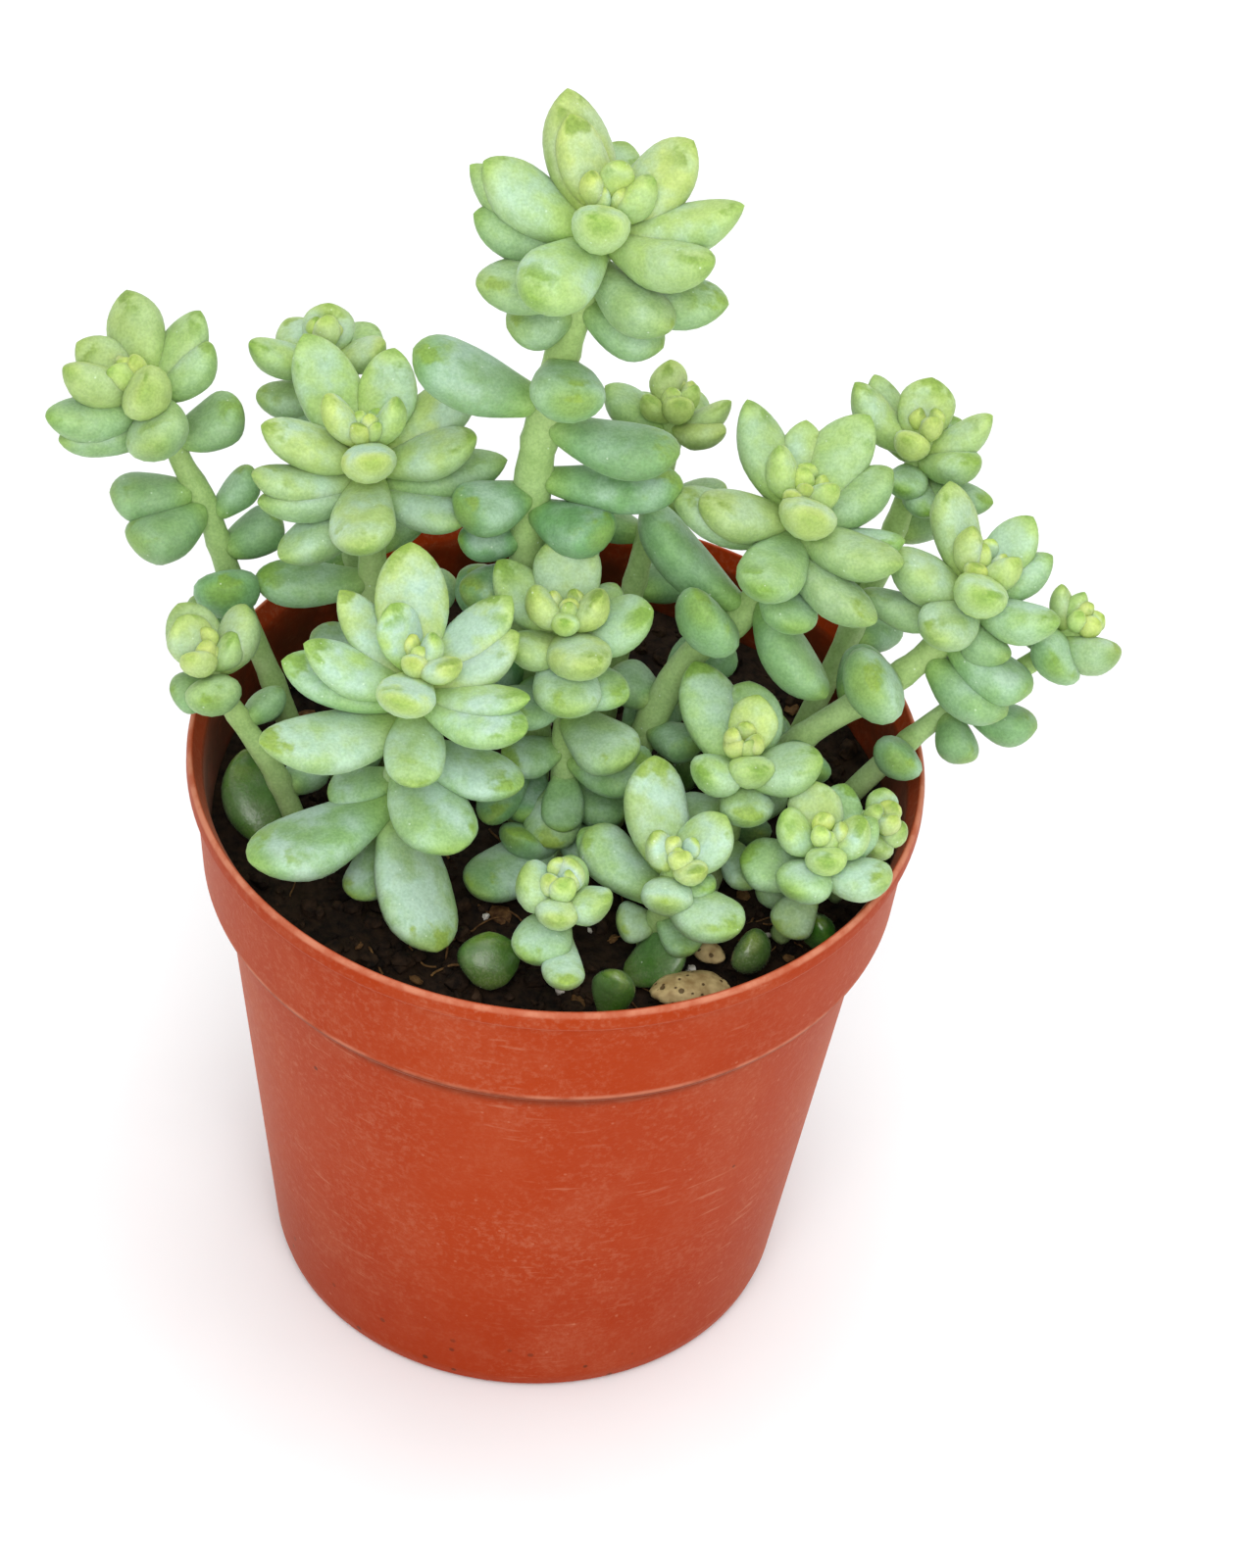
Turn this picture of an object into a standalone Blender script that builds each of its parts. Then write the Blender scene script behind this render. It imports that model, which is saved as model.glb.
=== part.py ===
# A burro's tail plant growing in a small plastic nursery pot.
# Metres, +Z up. The pot stands on z = 0 and the plant's front faces -Y.

import math

import bmesh
import bpy
from mathutils import Matrix, Vector

MM = 0.001
GAP = 0.3 * MM

# Pot: an 85 mm nursery pot with a tall rim band
RIM_RADIUS = 42.5 * MM
POT_HEIGHT = 75.0 * MM
BAND_HEIGHT = 16.0 * MM
BEAD_HEIGHT = 2.6 * MM
BAND_TOP_RADIUS = 41.5 * MM
BAND_FOOT_RADIUS = 40.2 * MM
BODY_TOP_RADIUS = 37.8 * MM
BASE_RADIUS = 29.7 * MM
BASE_ROUNDING = 1.8 * MM
WALL = 1.1 * MM
LIP = 0.5 * MM
FLOOR = 1.4 * MM
POT_SEGMENTS = 44
DRAIN_HOLES = 6
DRAIN_HOLE_RADIUS = 3.0 * MM
DRAIN_CIRCLE_RADIUS = 18.0 * MM

# Soil
SOIL_TOP = 65.0 * MM
SOIL_CROWN = 0.6 * MM
SOIL_EDGE_GAP = 0.5 * MM

# Leaves: how plump they are, and how far the middle sags below a straight line
LEAF_THICKNESS = 0.74
BUD_THICKNESS = 0.95
BUD_WIDTH = 3.5
LEAF_NECK = 0.5
LEAF_BELLY = 0.6
TIP_BLUNTNESS = 2.6
HEEL = 0.12
UPPER_FACE_FLATNESS = 0.62
LEAF_SAG = 0.05
LEAF_SIDES = 5
BIG_LEAF_RINGS = 5
SMALL_LEAF_RINGS = 4
BIG_LEAF_WIDTH = 7.4

# Colours
TERRACOTTA = (0.52, 0.115, 0.035)
SOIL_BLACK = (0.02, 0.012, 0.009)
LEAF_GREEN = (0.36, 0.55, 0.32)
STEM_GREEN = (0.38, 0.55, 0.2)
DEEP_GREEN = (0.12, 0.3, 0.1)
STONE_TAN = (0.55, 0.42, 0.24)
STRAW = (0.5, 0.33, 0.12)

# Each shoot in millimetres. "stem" runs from the growing tip down to the soil.
# A leaf is (how far down the stem from the growing tip it grows, its tip's place from
# there to the right, to the back and up, its width). Those within "crown" of the
# growing tip are the rosette, and the others are the stem's own.
SHOOTS = {
    "tallest": {
        "stem": [(1.5, 14, 146), (-1.5, 12.5, 131), (-4, 11, 118), (-5, 9.5, 106),
                 (-4.5, 6, 90), (-3, 1, 76), (-3, -1, 65.5)],
        "radius": 1.9,
        "crown": 11,
        "leaves": [
            (2, -0.3, -7.5, 5.5, 6.2), (1, -2.4, -0.1, 5.5, 3.2), (1, 1.3, 1.1, 6.5, 3.6),
            (2, 5, 0.5, 6, 4.4), (3, -5.1, 10.8, 10.5, 8), (2, -4.8, 6.4, 9.5, 5.5),
            (3, 9.3, 6.3, 8, 6.8), (4, 15.6, 0, 5.5, 6.6), (4, 12.6, -7.5, 3, 7),
            (8, 9.2, -9.4, -1, 6.8), (10, 15.9, -3.1, 0, 6.5), (5, -7.2, -12.5, 1.5, 8),
            (4, -13.6, 3.3, 6.4, 7.4), (5.5, -14.8, 4.4, 6.4, 6), (7, -13.7, 0.4, 4.3, 6),
            (9, -12.4, -5.9, 1.5, 7), (6, 2.5, 14, 4, 7),
            (14, -7.8, -2.5, -2, 6.5), (13, 9.6, -3.6, -3.4, 6.6), (16, 6, 9, 0, 6),
            (22, 2, -9.4, 2, 7.6), (28, -15.5, 2.2, 4.9, 8.2),
            (30, 15.5, -4.4, 0, 7.2), (38, 17, -1, 1, 6), (34, 3, 13, 2, 6.5),
            (42, 9, -6, 2, 7), (40, -8, -5.5, 1, 7), (46, -8, -1.5, 0, 4.5),
            (50, -7, -6, 0, 6), (52, 7, 6, 3, 6.5), (56, -8, 4, 2, 6.5), (60, 9, 1, 1, 6.5),
            (61, -6.5, -3.5, -2.5, 6.5),
            (64, -7, -5, 1, 5.5), (66, 6, 8, 1, 6),
            (72, -4.5, -13, -1, 4.5), (74, 0, -10, -0.5, 4.8),
        ],
    },
    "far_left": {
        "stem": [(-52, 18, 112), (-48, 18.5, 108), (-45.5, 18, 100.5), (-42, 16, 94.5),
                 (-38, 13, 84), (-33, 10, 73), (-30, 8, 65.5)],
        "radius": 1.3,
        "crown": 8,
        "leaves": [
            (2, 1, -6.5, 5, 6.2), (3, -3, 8, 8, 7), (3.5, 5.2, 6.8, 7, 5.5),
            (4, 6.6, 2.6, 6, 6), (2.5, -8.8, -3.2, 5, 5.8), (3.5, -8.5, 2, 5, 5.5),
            (1, 0, -0.9, 4.5, 2.8), (1.5, -3, -3, 4.5, 3.2), (5, -12.2, -6, 1.5, 6),
            (7, -11.6, -5.6, -0.5, 5.5), (5, 0.3, -9.4, 1, 6.8), (6, -4, 9, 2, 6),
            (11, 7.5, 1.8, 4.5, 6.5), (18, -10, -1, -0.5, 6.8), (20, -8, -6.2, -1, 7.8),
            (21.5, 4.5, 3.4, 5, 4.5), (26, 6.5, 3, 3.5, 6), (30, -0.5, -8, 5.5, 7),
            (33, -5, -4, 2.5, 5), (45, -2, -4.5, 1, 4),
        ],
    },
    "back_left": {
        "stem": [(-30, 28, 111.5), (-28.5, 26.5, 99), (-25, 22, 84), (-21, 18, 65.5)],
        "radius": 1.3,
        "crown": 8,
        "leaves": [
            (1, 0, -0.5, 5, 3), (3, 0, 2.5, 6.5, 6), (3, -8.8, -2.8, 4, 5),
            (3, 6.7, -1.6, 4.5, 4.5), (7, -8, -3.8, 1, 5), (4, -5, 7, 1, 6), (4, 5, 7, 1, 6),
            (6, 0.5, 9, -1, 6), (16, -6, 7, 1, 6), (22, 8, 5, 0, 6.5), (30, -7, 5, -2, 6.5),
        ],
    },
    "mid_left": {
        "stem": [(-24, 13, 111), (-23, 11.5, 98), (-22, 9, 86), (-20.5, 7, 76), (-19, 5, 65.5)],
        "radius": 1.5,
        "crown": 10,
        "leaves": [
            (2, 0.7, -8.3, 5, 5.6), (1, -1.2, -2.5, 4, 2.6), (1, 0, -1.4, 5, 2),
            (1, 1, -2.3, 4.5, 2), (2, -5.2, 0.2, 7, 4.3), (2, 3, 0, 7.5, 4),
            (3, 2, 9.3, 8, 6.5), (4, -8.5, 10.7, 9, 7.5), (4, 11.5, 7.8, 7, 6.8),
            (4.5, 12, -0.9, 6, 6.5), (4, -12.4, -1.1, 5, 6.2), (6, -13.2, -4.9, 3, 5.8),
            (7.5, -12.4, -6.6, 2, 5.5), (7, 15.4, 2.1, 3, 7), (5, 0, -15, 1, 7.2),
            (7, 11.3, -5.7, 0, 5.5), (9, -9.6, -9.5, -2, 6.5),
            (20, -13.5, -0.4, -1, 6.5), (16, 4, 10, 0, 6.5), (24, 9, 4, 2, 6.5),
            (28, 7, -4, -2, 5.5), (31, -8, 3, 1, 6), (36, 2, 9, 1, 6), (39, -6.7, -7.9, -1.5, 6),
            (40, 6.3, -5.7, -2, 6),
        ],
    },
    "back": {
        "stem": [(11, 30, 104), (9.5, 27, 93), (7, 21, 79), (5, 16, 65.5)],
        "radius": 1.3,
        "crown": 8,
        "leaves": [
            (2, -1, 3.3, 6, 5), (2, -3.7, -1.4, 4, 3), (4, -8, 2.9, 4, 6), (1, 0.5, -3, 4, 3.5),
            (1, 2, -0.5, 4.5, 2.5), (3, 6.5, 0.4, 4, 4), (3, 6, -3.5, 2.5, 4.5),
            (5, 3, 8, 1, 5.5), (5, -4, 7, 1, 5.5), (13, 8, 4, 0, 6), (17, -7, 6, -1, 6),
            (24, 7, 7, -2, 6.5),
        ],
    },
    "mid_right": {
        "stem": [(26, 10, 110), (23, 7, 99), (19, 5, 93), (14, 3.5, 88), (9, 1, 76), (6.5, 0, 65.5)],
        "radius": 1.6,
        "crown": 8.5,
        "leaves": [
            (2, 1.2, -8.3, 5, 6.2), (1, -1.5, -4.2, 3.5, 2.6), (1, 0.4, -3.4, 4.5, 2),
            (1.5, 3.5, -3.1, 5, 3.4), (2, -3, 1.5, 7, 4.7), (3.5, 7.5, 9.4, 7.4, 7),
            (3.5, -6.5, 9.9, 8, 6.5), (4, 0.5, 9.5, 6.5, 5.5), (4, -11, -4.2, 4.5, 6.8),
            (6, -13.7, 0.1, 4.5, 7), (4.5, 12.4, -8.3, 2, 6.8), (6, 13, -2.3, 2, 5.5),
            (5.5, 11, 4.6, 6, 7), (5, -3.5, -14.5, 2.5, 7.2), (7, 10.3, -11.9, -1, 6.5),
            (9.5, 2.5, -10.7, -1, 6), (14, 8, -8.6, -8, 8), (12, 6, 10, 0, 7),
            (17, -12.5, 8.6, 8, 8.5), (20, -3.5, -7, 9, 8), (30, 6, 7, 1, 6.5),
            (33, -5.5, 3.5, 2, 6), (36, 6, -4, 1, 5.5), (40, 3, 9, 2, 6), (43, 6.2, -2.3, -1, 6),
        ],
    },
    "back_right": {
        "stem": [(39.5, 25, 107), (37.5, 22.5, 96), (33, 17.5, 82), (27, 13, 65.5)],
        "radius": 1.3,
        "crown": 8,
        "leaves": [
            (3, 0.8, 5.1, 7, 6.3), (3, -8, 4.4, 6, 5.5), (4.5, -5.5, 8, 6, 5),
            (2, -1.8, -4.2, 4.5, 4), (1, 1.2, -1.6, 4.5, 2.4), (3, 8, 1.5, 5, 4.5),
            (4, 7, -3.5, 3, 5.2), (7, 9.5, -2.8, 0, 4.5), (5, -1.5, -5.5, 1, 4.5),
            (6, 2, -6, -1, 4), (6, 5, 8, 2, 6), (14, 6, 7, 0, 6.5), (20, -6, 7, 0, 6.5),
            (28, 5, 6, -2, 6),
        ],
    },
    "right": {
        "stem": [(47, 8, 102), (44, 5.5, 94), (37, 3, 87), (29, 1, 81), (22, 0, 73), (18, 0, 65.5)],
        "radius": 1.5,
        "crown": 8,
        "leaves": [
            (2, 0.5, -7.8, 4.5, 6), (1, -1, -3.1, 3.5, 2.8), (2, -1.2, 1.8, 6.5, 4.3),
            (2, 4.3, -1.5, 5, 4), (3, 6, 5.5, 6.5, 5.5), (3, -3.7, 8.9, 8, 6),
            (4.5, 9, 3.9, 4, 5), (4, -9.5, 0.5, 5, 7), (4.5, 10, -5.9, 2.5, 6),
            (4.5, -4, -9, 1.5, 6.3), (7, -11.5, 1, 2, 5), (7, 5.5, -5.4, -1, 5.5),
            (9.5, 9.8, -4.5, -4, 7.5), (13, 9.5, -4.5, -4.5, 7.5), (11, 2, 9, 1, 6),
            (18, -3.5, -7, 5.5, 8.5), (24, 3, 8, 1, 6.5), (32, 3, -6, 1, 5.5), (38, 2, 8, 2, 6),
            (43, 3.5, -7, 1, 5),
        ],
    },
    "far_right": {
        "stem": [(59, 8, 94), (54, 7, 89), (47, 5.5, 84), (42, 4, 80), (37, 3, 74), (31, 2, 65.5)],
        "radius": 1.2,
        "crown": 4,
        "leaves": [
            (2, -1.5, 3, 5, 3), (2, 1.2, 2.5, 4.5, 3), (3, 6.2, -3.5, 1.5, 6),
            (3, -1, -5.9, 1, 6.5), (3, -5, 0, 2, 4.5), (3, 2.5, 5, 1.5, 4.5),
            (1, 0.3, -1, 3.5, 2.4),
            (17, 8.7, -2, -1.5, 6.5), (19, 3, -5, -3, 6), (26, -0.5, -6, 3, 5.8),
        ],
    },
    "left_rim": {
        "stem": [(-40.5, -4, 90.5), (-38, -4.5, 84.5), (-34.5, -5.5, 79), (-31.5, -6.5, 74),
                 (-28, -8, 65.5)],
        "radius": 1.2,
        "crown": 6,
        "leaves": [
            (2, -4.3, 2, 5.5, 5.5), (3.5, -5, 5.5, 6, 6), (3, 3, 4.5, 7, 6), (2, 2.6, 0.5, 5, 4.4),
            (1.5, -2.6, -3, 3.8, 3.8), (5, -5.8, -1.5, 0.5, 5.5), (3.5, -0.5, -6, 1.5, 6.2),
            (1, 0.3, -0.8, 3, 1.8), (10, 4, 5, 1, 4.5), (20, 4, 5, 0, 5),
        ],
    },
    "front_left": {
        "stem": [(-16, -12, 99.5), (-16.5, -12.5, 92), (-17.5, -13, 84), (-18.5, -14, 76),
                 (-18.5, -14, 65.5)],
        "radius": 1.5,
        "crown": 9,
        "leaves": [
            (0.5, -0.8, -3.2, 3, 3), (1, 1.4, 0.5, 4.5, 4), (1, 4, -3.5, 3.5, 4.6),
            (2, -3.7, 2.9, 7.5, 5.6), (2, -1.8, -9.5, 4, 6.4), (3, -2, 12.5, 9.5, 8),
            (3, 9.8, 7.4, 7, 6.5), (3.5, 11, 3.5, 5.5, 6.5), (4, -13, 0.3, 5, 7),
            (6, -15.3, 1.7, 3, 6.5), (8, -16.8, -8.2, 1.5, 8.5), (4, -9.5, 7.5, 7, 5.5),
            (4, 12.8, -5, 4, 5.5), (4.5, 12.5, -9, 3, 7.5), (6, 0.5, -12, -2, 6.5),
            (13, 6.5, -13.5, -3, 9), (12, 13.5, -5, -1, 7.5), (19, -15.8, -10.5, -3, 10),
            (20, 6.2, -15.6, -9, 8.6), (17, -8, 0, -3.5, 6), (25, -3.1, -7.6, -4, 5.5),
        ],
    },
    "centre": {
        "stem": [(0, -3, 100), (0.5, -3.5, 90), (1, -5, 78), (1.5, -6, 65.5)],
        "radius": 1.4,
        "crown": 8,
        "leaves": [
            (0.5, -0.2, -4.5, 3, 3), (1, 0, -1.5, 4, 2.2), (1.5, 3.8, -1, 5.5, 5),
            (1.5, -4.2, -1, 5.3, 5), (3, -0.3, 9, 7.5, 7.2), (3.5, -8.5, 6.5, 5, 5.5),
            (4, 9.5, 0.5, 5, 7.5), (4, -6.3, -5, 2.5, 5.8), (3, 3, -9, 3, 6.8),
            (5.5, 0.5, -11, 0.5, 7.3), (7, 7, -6, 0, 5.5), (5, 5, 8, 3, 5.5),
            (14, 7.5, -8, 0, 7.5), (12, -7, -4, 1, 6), (22, 0.3, -6.7, -4, 4.8),
            (20, 9.8, -3, 0.8, 7.4), (15, -5, 4.5, 1, 5.5), (19, -7, -3, 0, 5.5), (26, 5, 5, 0, 5.5),
            (24, -1.7, -7.1, -4, 6), (26, 7.4, -1, -1, 5.5), (31, -9.8, -12.4, 0.8, 6.5),
            (32, -6.1, -6.5, 5.5, 5.5), (30, 4.2, -5, 0, 5.5),
        ],
    },
    "inner_right": {
        "stem": [(21, -10, 88), (20.5, -10.5, 79), (19.5, -11, 72), (18, -11, 65.5)],
        "radius": 1.3,
        "crown": 7,
        "leaves": [
            (1, -1.2, -1.2, 3.2, 2.7), (1, 1, -1.3, 3.2, 2.1), (2, 1.5, 4.5, 6, 5.2),
            (4, -6, 10.5, 7, 7), (4, 0.5, 9.5, 5.5, 8), (3, -4.5, -4.5, 2.5, 6),
            (2, 2.2, -4.8, 2.5, 5.2), (3.5, 9.3, -1.5, 3.5, 7.3), (5, 1.8, -6.8, 0, 5.8),
            (11, 5, 6, 1, 6), (10, -7, 1, -1, 5.5), (14, 4, -6, -1, 5), (17, -4.5, 2, 0, 5),
        ],
    },
    "front_right": {
        "stem": [(31, -18, 82), (30.5, -18, 76), (29, -17.5, 70), (27, -17, 65.5)],
        "radius": 1.2,
        "crown": 6,
        "leaves": [
            (1, 0.2, -1, 3, 2.7), (2.5, -2, 6.3, 5.5, 5.8), (2, -5, 1, 4.6, 5),
            (2, 4.7, 0.8, 4.5, 5), (1.5, 0.6, -5.3, 2.8, 4.4), (4, 7.8, -4.2, 2, 6.3),
            (3.5, -3.3, -6.3, 1, 6), (4, 6, 4, 4, 4.5), (5.5, -9, 0.5, 1, 6.5),
            (5, 2.5, 11, 3.5, 5.8), (8, -3, -4, -4, 5), (11, -5, 4, 0, 5),
        ],
    },
    "right_rim": {
        "stem": [(37.5, -11, 78.5), (36, -10.5, 72), (33, -10, 65.5)],
        "radius": 0.9,
        "crown": 3.5,
        "leaves": [
            (1.5, 0.4, 3.7, 3.5, 3.6), (1.5, 3, -1.5, 2, 3.2), (2, 0, -4, 1, 3.8),
            (1.5, -3, 0, 2, 3.4), (0.5, 0, -0.6, 2.5, 1.6),
        ],
    },
    "front": {
        "stem": [(14.5, -22, 81), (13.5, -22, 74.5), (12.5, -21, 69), (12, -20, 65.5)],
        "radius": 1.3,
        "crown": 5,
        "leaves": [
            (0.5, 0.2, -0.8, 3, 2), (3, -3, 11.5, 8, 7), (1.5, -2.8, 0.8, 4.6, 4),
            (2.5, 5.5, 4, 6, 6.3), (1, 3, -3.5, 2.5, 3.6), (3, -0.5, -6, 1.5, 5.6),
            (4, 7.8, -7.5, 0.5, 7), (4, 5, -1.5, 1.5, 5),
            (6, -9.5, 6.5, 3.5, 6.8), (7, -10, 9, 2, 6), (9, 4, -5, -1, 4.5),
            (9, 5, 5, 0, 5.5), (11, -4.5, -1.5, 1, 4.6),
        ],
    },
    "front_edge": {
        "stem": [(1.5, -27, 80.5), (1.8, -27, 74), (2.5, -26.5, 69), (3, -26, 65.5)],
        "radius": 1.1,
        "crown": 5,
        "leaves": [
            (0.5, 0.3, -2.2, 2.8, 3.2), (2.5, -4.7, 0, 3.8, 6), (1.5, 1, 1.2, 4.5, 4.2),
            (2.5, 5.6, -2.2, 2.8, 5.3), (2, -0.2, -6, 2, 4.6), (4, -3.6, -7.3, -1, 6.3),
            (3, 1, 6, 2, 4.5), (6, 1.2, -12, 2, 4.5),
        ],
    },
}

# Plump leaves that come up on their own between the shoots: foot, tip from there, width
SPROUTS = {
    "low_leaf_front": ((-5.6, -30.2, 66.2), (-0.6, 4.8, 4.6), 6.8),
    "low_leaf_front_right": ((9.5, -26, 65.5), (6.5, 2, 5.5), 6),
    "low_leaf_edge": ((8, -33.2, 65.5), (0.4, 0.8, 7.2), 4.6),
    "low_leaf_right": ((22.6, -22.2, 65.5), (1, -2.2, 6), 5.2),
    "low_leaf_left": ((-30.5, -9, 65.5), (-5.5, 9, 7), 7.8),
    "low_leaf_rim": ((30.6, -18.8, 66), (0.5, -0.7, 4.6), 4.2),
    "low_leaf_back_right": ((16, 8, 65.5), (-3, -3, 7), 5.5),
}

# Things lying on the soil: middle, half sizes, turn about Z in degrees
PEBBLES = {
    "pebble_large": ((17, -29, 67.4), (4.6, 2.6, 1.8), 8),
    "pebble_small": ((19, -22, 66.6), (1.9, 1.4, 1.1), -20),
}
STRAWS = {
    "dried_leaf": ([(7, 19, 68), (10, 15.5, 69.5), (12.5, 12, 68), (13.5, 9.5, 66.5)], 0.8),
    "dried_stalk": ([(8.5, 3.2, 66.6), (11, 1.6, 67.2), (13.5, 1, 66.4)], 0.6),
}


def clear_scene():
    for obj in list(bpy.data.objects):
        bpy.data.objects.remove(obj, do_unlink=True)


def make_collection(name):
    collection = bpy.data.collections.new(name)
    bpy.context.scene.collection.children.link(collection)
    return collection


def make_material(name, colour, roughness):
    material = bpy.data.materials.new(name)
    material.use_nodes = True
    shader = material.node_tree.nodes["Principled BSDF"]
    shader.inputs["Base Color"].default_value = (*colour, 1.0)
    shader.inputs["Roughness"].default_value = roughness
    shader.inputs["Metallic"].default_value = 0.0
    return material


def add_mesh(name, bm, collection):
    """Turn a bmesh into an object with its faces pointing out."""
    bmesh.ops.recalc_face_normals(bm, faces=bm.faces)
    mesh = bpy.data.meshes.new(name)
    bm.to_mesh(mesh)
    bm.free()
    obj = bpy.data.objects.new(name, mesh)
    collection.objects.link(obj)
    return obj


def add_helper(name, bm):
    obj = add_mesh(name, bm, HELPERS)
    obj.hide_render = True
    obj.display_type = "WIRE"
    return obj


def finish_part(obj, colour, roughness):
    obj.data.materials.clear()
    obj.data.materials.append(make_material(obj.name, colour, roughness))


def evaluated_mesh(obj):
    """A plain mesh of the object with its modifiers applied."""
    graph = bpy.context.evaluated_depsgraph_get()
    graph.update()
    return bpy.data.meshes.new_from_object(obj.evaluated_get(graph))


def turned_part(name, outline, collection):
    """A round body from an outline of (radius, height) that starts and ends on the axis."""
    bm = bmesh.new()
    points = [bm.verts.new((radius, 0, height)) for radius, height in outline]
    for start, end in zip(points, points[1:]):
        bm.edges.new((start, end))
    mesh = bpy.data.meshes.new(name)
    bm.to_mesh(mesh)
    bm.free()
    obj = bpy.data.objects.new(name, mesh)
    collection.objects.link(obj)
    screw = obj.modifiers.new("Turn", "SCREW")
    screw.steps = POT_SEGMENTS
    screw.render_steps = POT_SEGMENTS
    screw.use_merge_vertices = True
    screw.merge_threshold = 0.01 * MM
    screw.use_normal_calculate = True
    return obj


def rounded_corner(radius, height, size, steps=3):
    """The quarter circle from the wall down to the floor, for a corner at that radius and height."""
    points = []
    for step in range(steps + 1):
        angle = math.pi / 2 * step / steps
        points.append((radius - size + size * math.cos(angle), height + size - size * math.sin(angle)))
    return points


def drain_cutter():
    bm = bmesh.new()
    for hole in range(DRAIN_HOLES):
        angle = 2 * math.pi * hole / DRAIN_HOLES
        place = Matrix.Translation(
            (DRAIN_CIRCLE_RADIUS * math.cos(angle), DRAIN_CIRCLE_RADIUS * math.sin(angle), 0)
        )
        bmesh.ops.create_cone(
            bm, cap_ends=True, segments=12, radius1=DRAIN_HOLE_RADIUS, radius2=DRAIN_HOLE_RADIUS,
            depth=4 * FLOOR, matrix=place,
        )
    return add_helper("drain_holes", bm)


def build_pot():
    band_foot = POT_HEIGHT - BAND_HEIGHT
    outer = [
        (RIM_RADIUS - LIP, POT_HEIGHT), (RIM_RADIUS, POT_HEIGHT - LIP),
        (RIM_RADIUS, POT_HEIGHT - BEAD_HEIGHT), (BAND_TOP_RADIUS, POT_HEIGHT - BEAD_HEIGHT - LIP),
        (BAND_FOOT_RADIUS, band_foot), (BAND_FOOT_RADIUS - LIP, band_foot - LIP),
        (BODY_TOP_RADIUS, band_foot - 2 * LIP),
    ]
    outer += rounded_corner(BASE_RADIUS, 0, BASE_ROUNDING) + [(0, 0)]
    inner = [(0, FLOOR)] + rounded_corner(BASE_RADIUS - WALL, FLOOR, BASE_ROUNDING - WALL)[::-1]
    inner += [(BODY_TOP_RADIUS - WALL, band_foot - 2 * LIP), (BAND_FOOT_RADIUS - WALL, band_foot + LIP)]
    inner += [(BAND_TOP_RADIUS - WALL, POT_HEIGHT - BEAD_HEIGHT), (RIM_RADIUS - WALL, POT_HEIGHT - LIP)]
    inner += [(RIM_RADIUS - WALL + LIP / 2, POT_HEIGHT)]
    pot = turned_part("pot", inner + outer, PLANT)
    cut = pot.modifiers.new("Drain holes", "BOOLEAN")
    cut.operation = "DIFFERENCE"
    cut.solver = "EXACT"
    cut.object = drain_cutter()
    finish_part(pot, TERRACOTTA, 0.55)


def build_soil():
    band_foot = POT_HEIGHT - BAND_HEIGHT
    climb = (SOIL_TOP - band_foot) / BAND_HEIGHT
    edge = BAND_FOOT_RADIUS + (BAND_TOP_RADIUS - BAND_FOOT_RADIUS) * climb - WALL - SOIL_EDGE_GAP
    foot = BASE_RADIUS - WALL - SOIL_EDGE_GAP
    outline = [(0, SOIL_TOP), (edge, SOIL_TOP - SOIL_CROWN)]
    outline += [(BAND_FOOT_RADIUS - WALL - SOIL_EDGE_GAP - LIP, band_foot + 2 * LIP)]
    outline += [(BODY_TOP_RADIUS - WALL - SOIL_EDGE_GAP, band_foot - 2 * LIP)]
    outline += rounded_corner(foot, FLOOR + GAP, BASE_ROUNDING - WALL, 2) + [(0, FLOOR + GAP)]
    soil = turned_part("soil", outline, PLANT)
    finish_part(soil, SOIL_BLACK, 0.95)


def smooth_route(points, steps):
    """The points with a smooth curve through them, and that many steps from each to the next."""
    first = points[0] * 2 - points[1]
    last = points[-1] * 2 - points[-2]
    padded = [first] + points + [last]
    route = []
    for before, start, end, after in zip(padded, padded[1:], padded[2:], padded[3:]):
        for step in range(steps):
            t = step / steps
            route.append(0.5 * (
                2 * start + (end - before) * t
                + (2 * before - 5 * start + 4 * end - after) * t**2
                + (3 * start - before - 3 * end + after) * t**3
            ))
    return route + [points[-1]]


def point_along(route, distance):
    """The place that far from the start of a route, and the way back towards the start."""
    left = distance
    for start, end in zip(route, route[1:]):
        span = (end - start).length
        if left <= span:
            return start.lerp(end, left / span), (start - end).normalized()
        left -= span
    return route[-1].copy(), (route[-2] - route[-1]).normalized()


def leaf_fullness(s):
    """How wide a leaf is at s, from 0 at its joint to 1 at its tip, next to its widest."""
    belly = LEAF_NECK + (1 - LEAF_NECK) * min(1, s / LEAF_BELLY) ** 0.8
    past_belly = max(0, (s - LEAF_BELLY) / (1 - LEAF_BELLY))
    tip = math.sqrt(max(0, 1 - past_belly**TIP_BLUNTNESS))
    return belly * tip * min(1, math.sqrt(s / HEEL))


def leaf_shape(joint, offset, width, upward, grow=0.0):
    """A plump leaf from its joint to its tip, flatter on the face that looks along upward."""
    big = width > BIG_LEAF_WIDTH * MM
    bm = bmesh.new()
    rings = BIG_LEAF_RINGS if big else SMALL_LEAF_RINGS
    bmesh.ops.create_uvsphere(bm, u_segments=LEAF_SIDES, v_segments=rings, radius=1)
    length = offset.length
    along = offset / length
    face = upward - along * upward.dot(along)
    if face.length < 0.05:
        face = along.orthogonal()
    face.normalize()
    side = face.cross(along)
    thickness = width * (BUD_THICKNESS if width < BUD_WIDTH * MM else LEAF_THICKNESS)
    for vert in bm.verts:
        s = (vert.co.z + 1) / 2
        round_part = math.hypot(vert.co.x, vert.co.y) or 1
        across = vert.co.x / round_part * (width / 2 * leaf_fullness(s) + grow)
        depth = vert.co.y / round_part * (thickness / 2 * leaf_fullness(s) + grow)
        if depth > 0:
            depth *= UPPER_FACE_FLATNESS
        depth -= LEAF_SAG * length * 4 * s * (1 - s)
        reach = s * (length + 2 * grow) - grow
        vert.co = joint + along * reach + side * across + face * depth
    return bm


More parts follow.
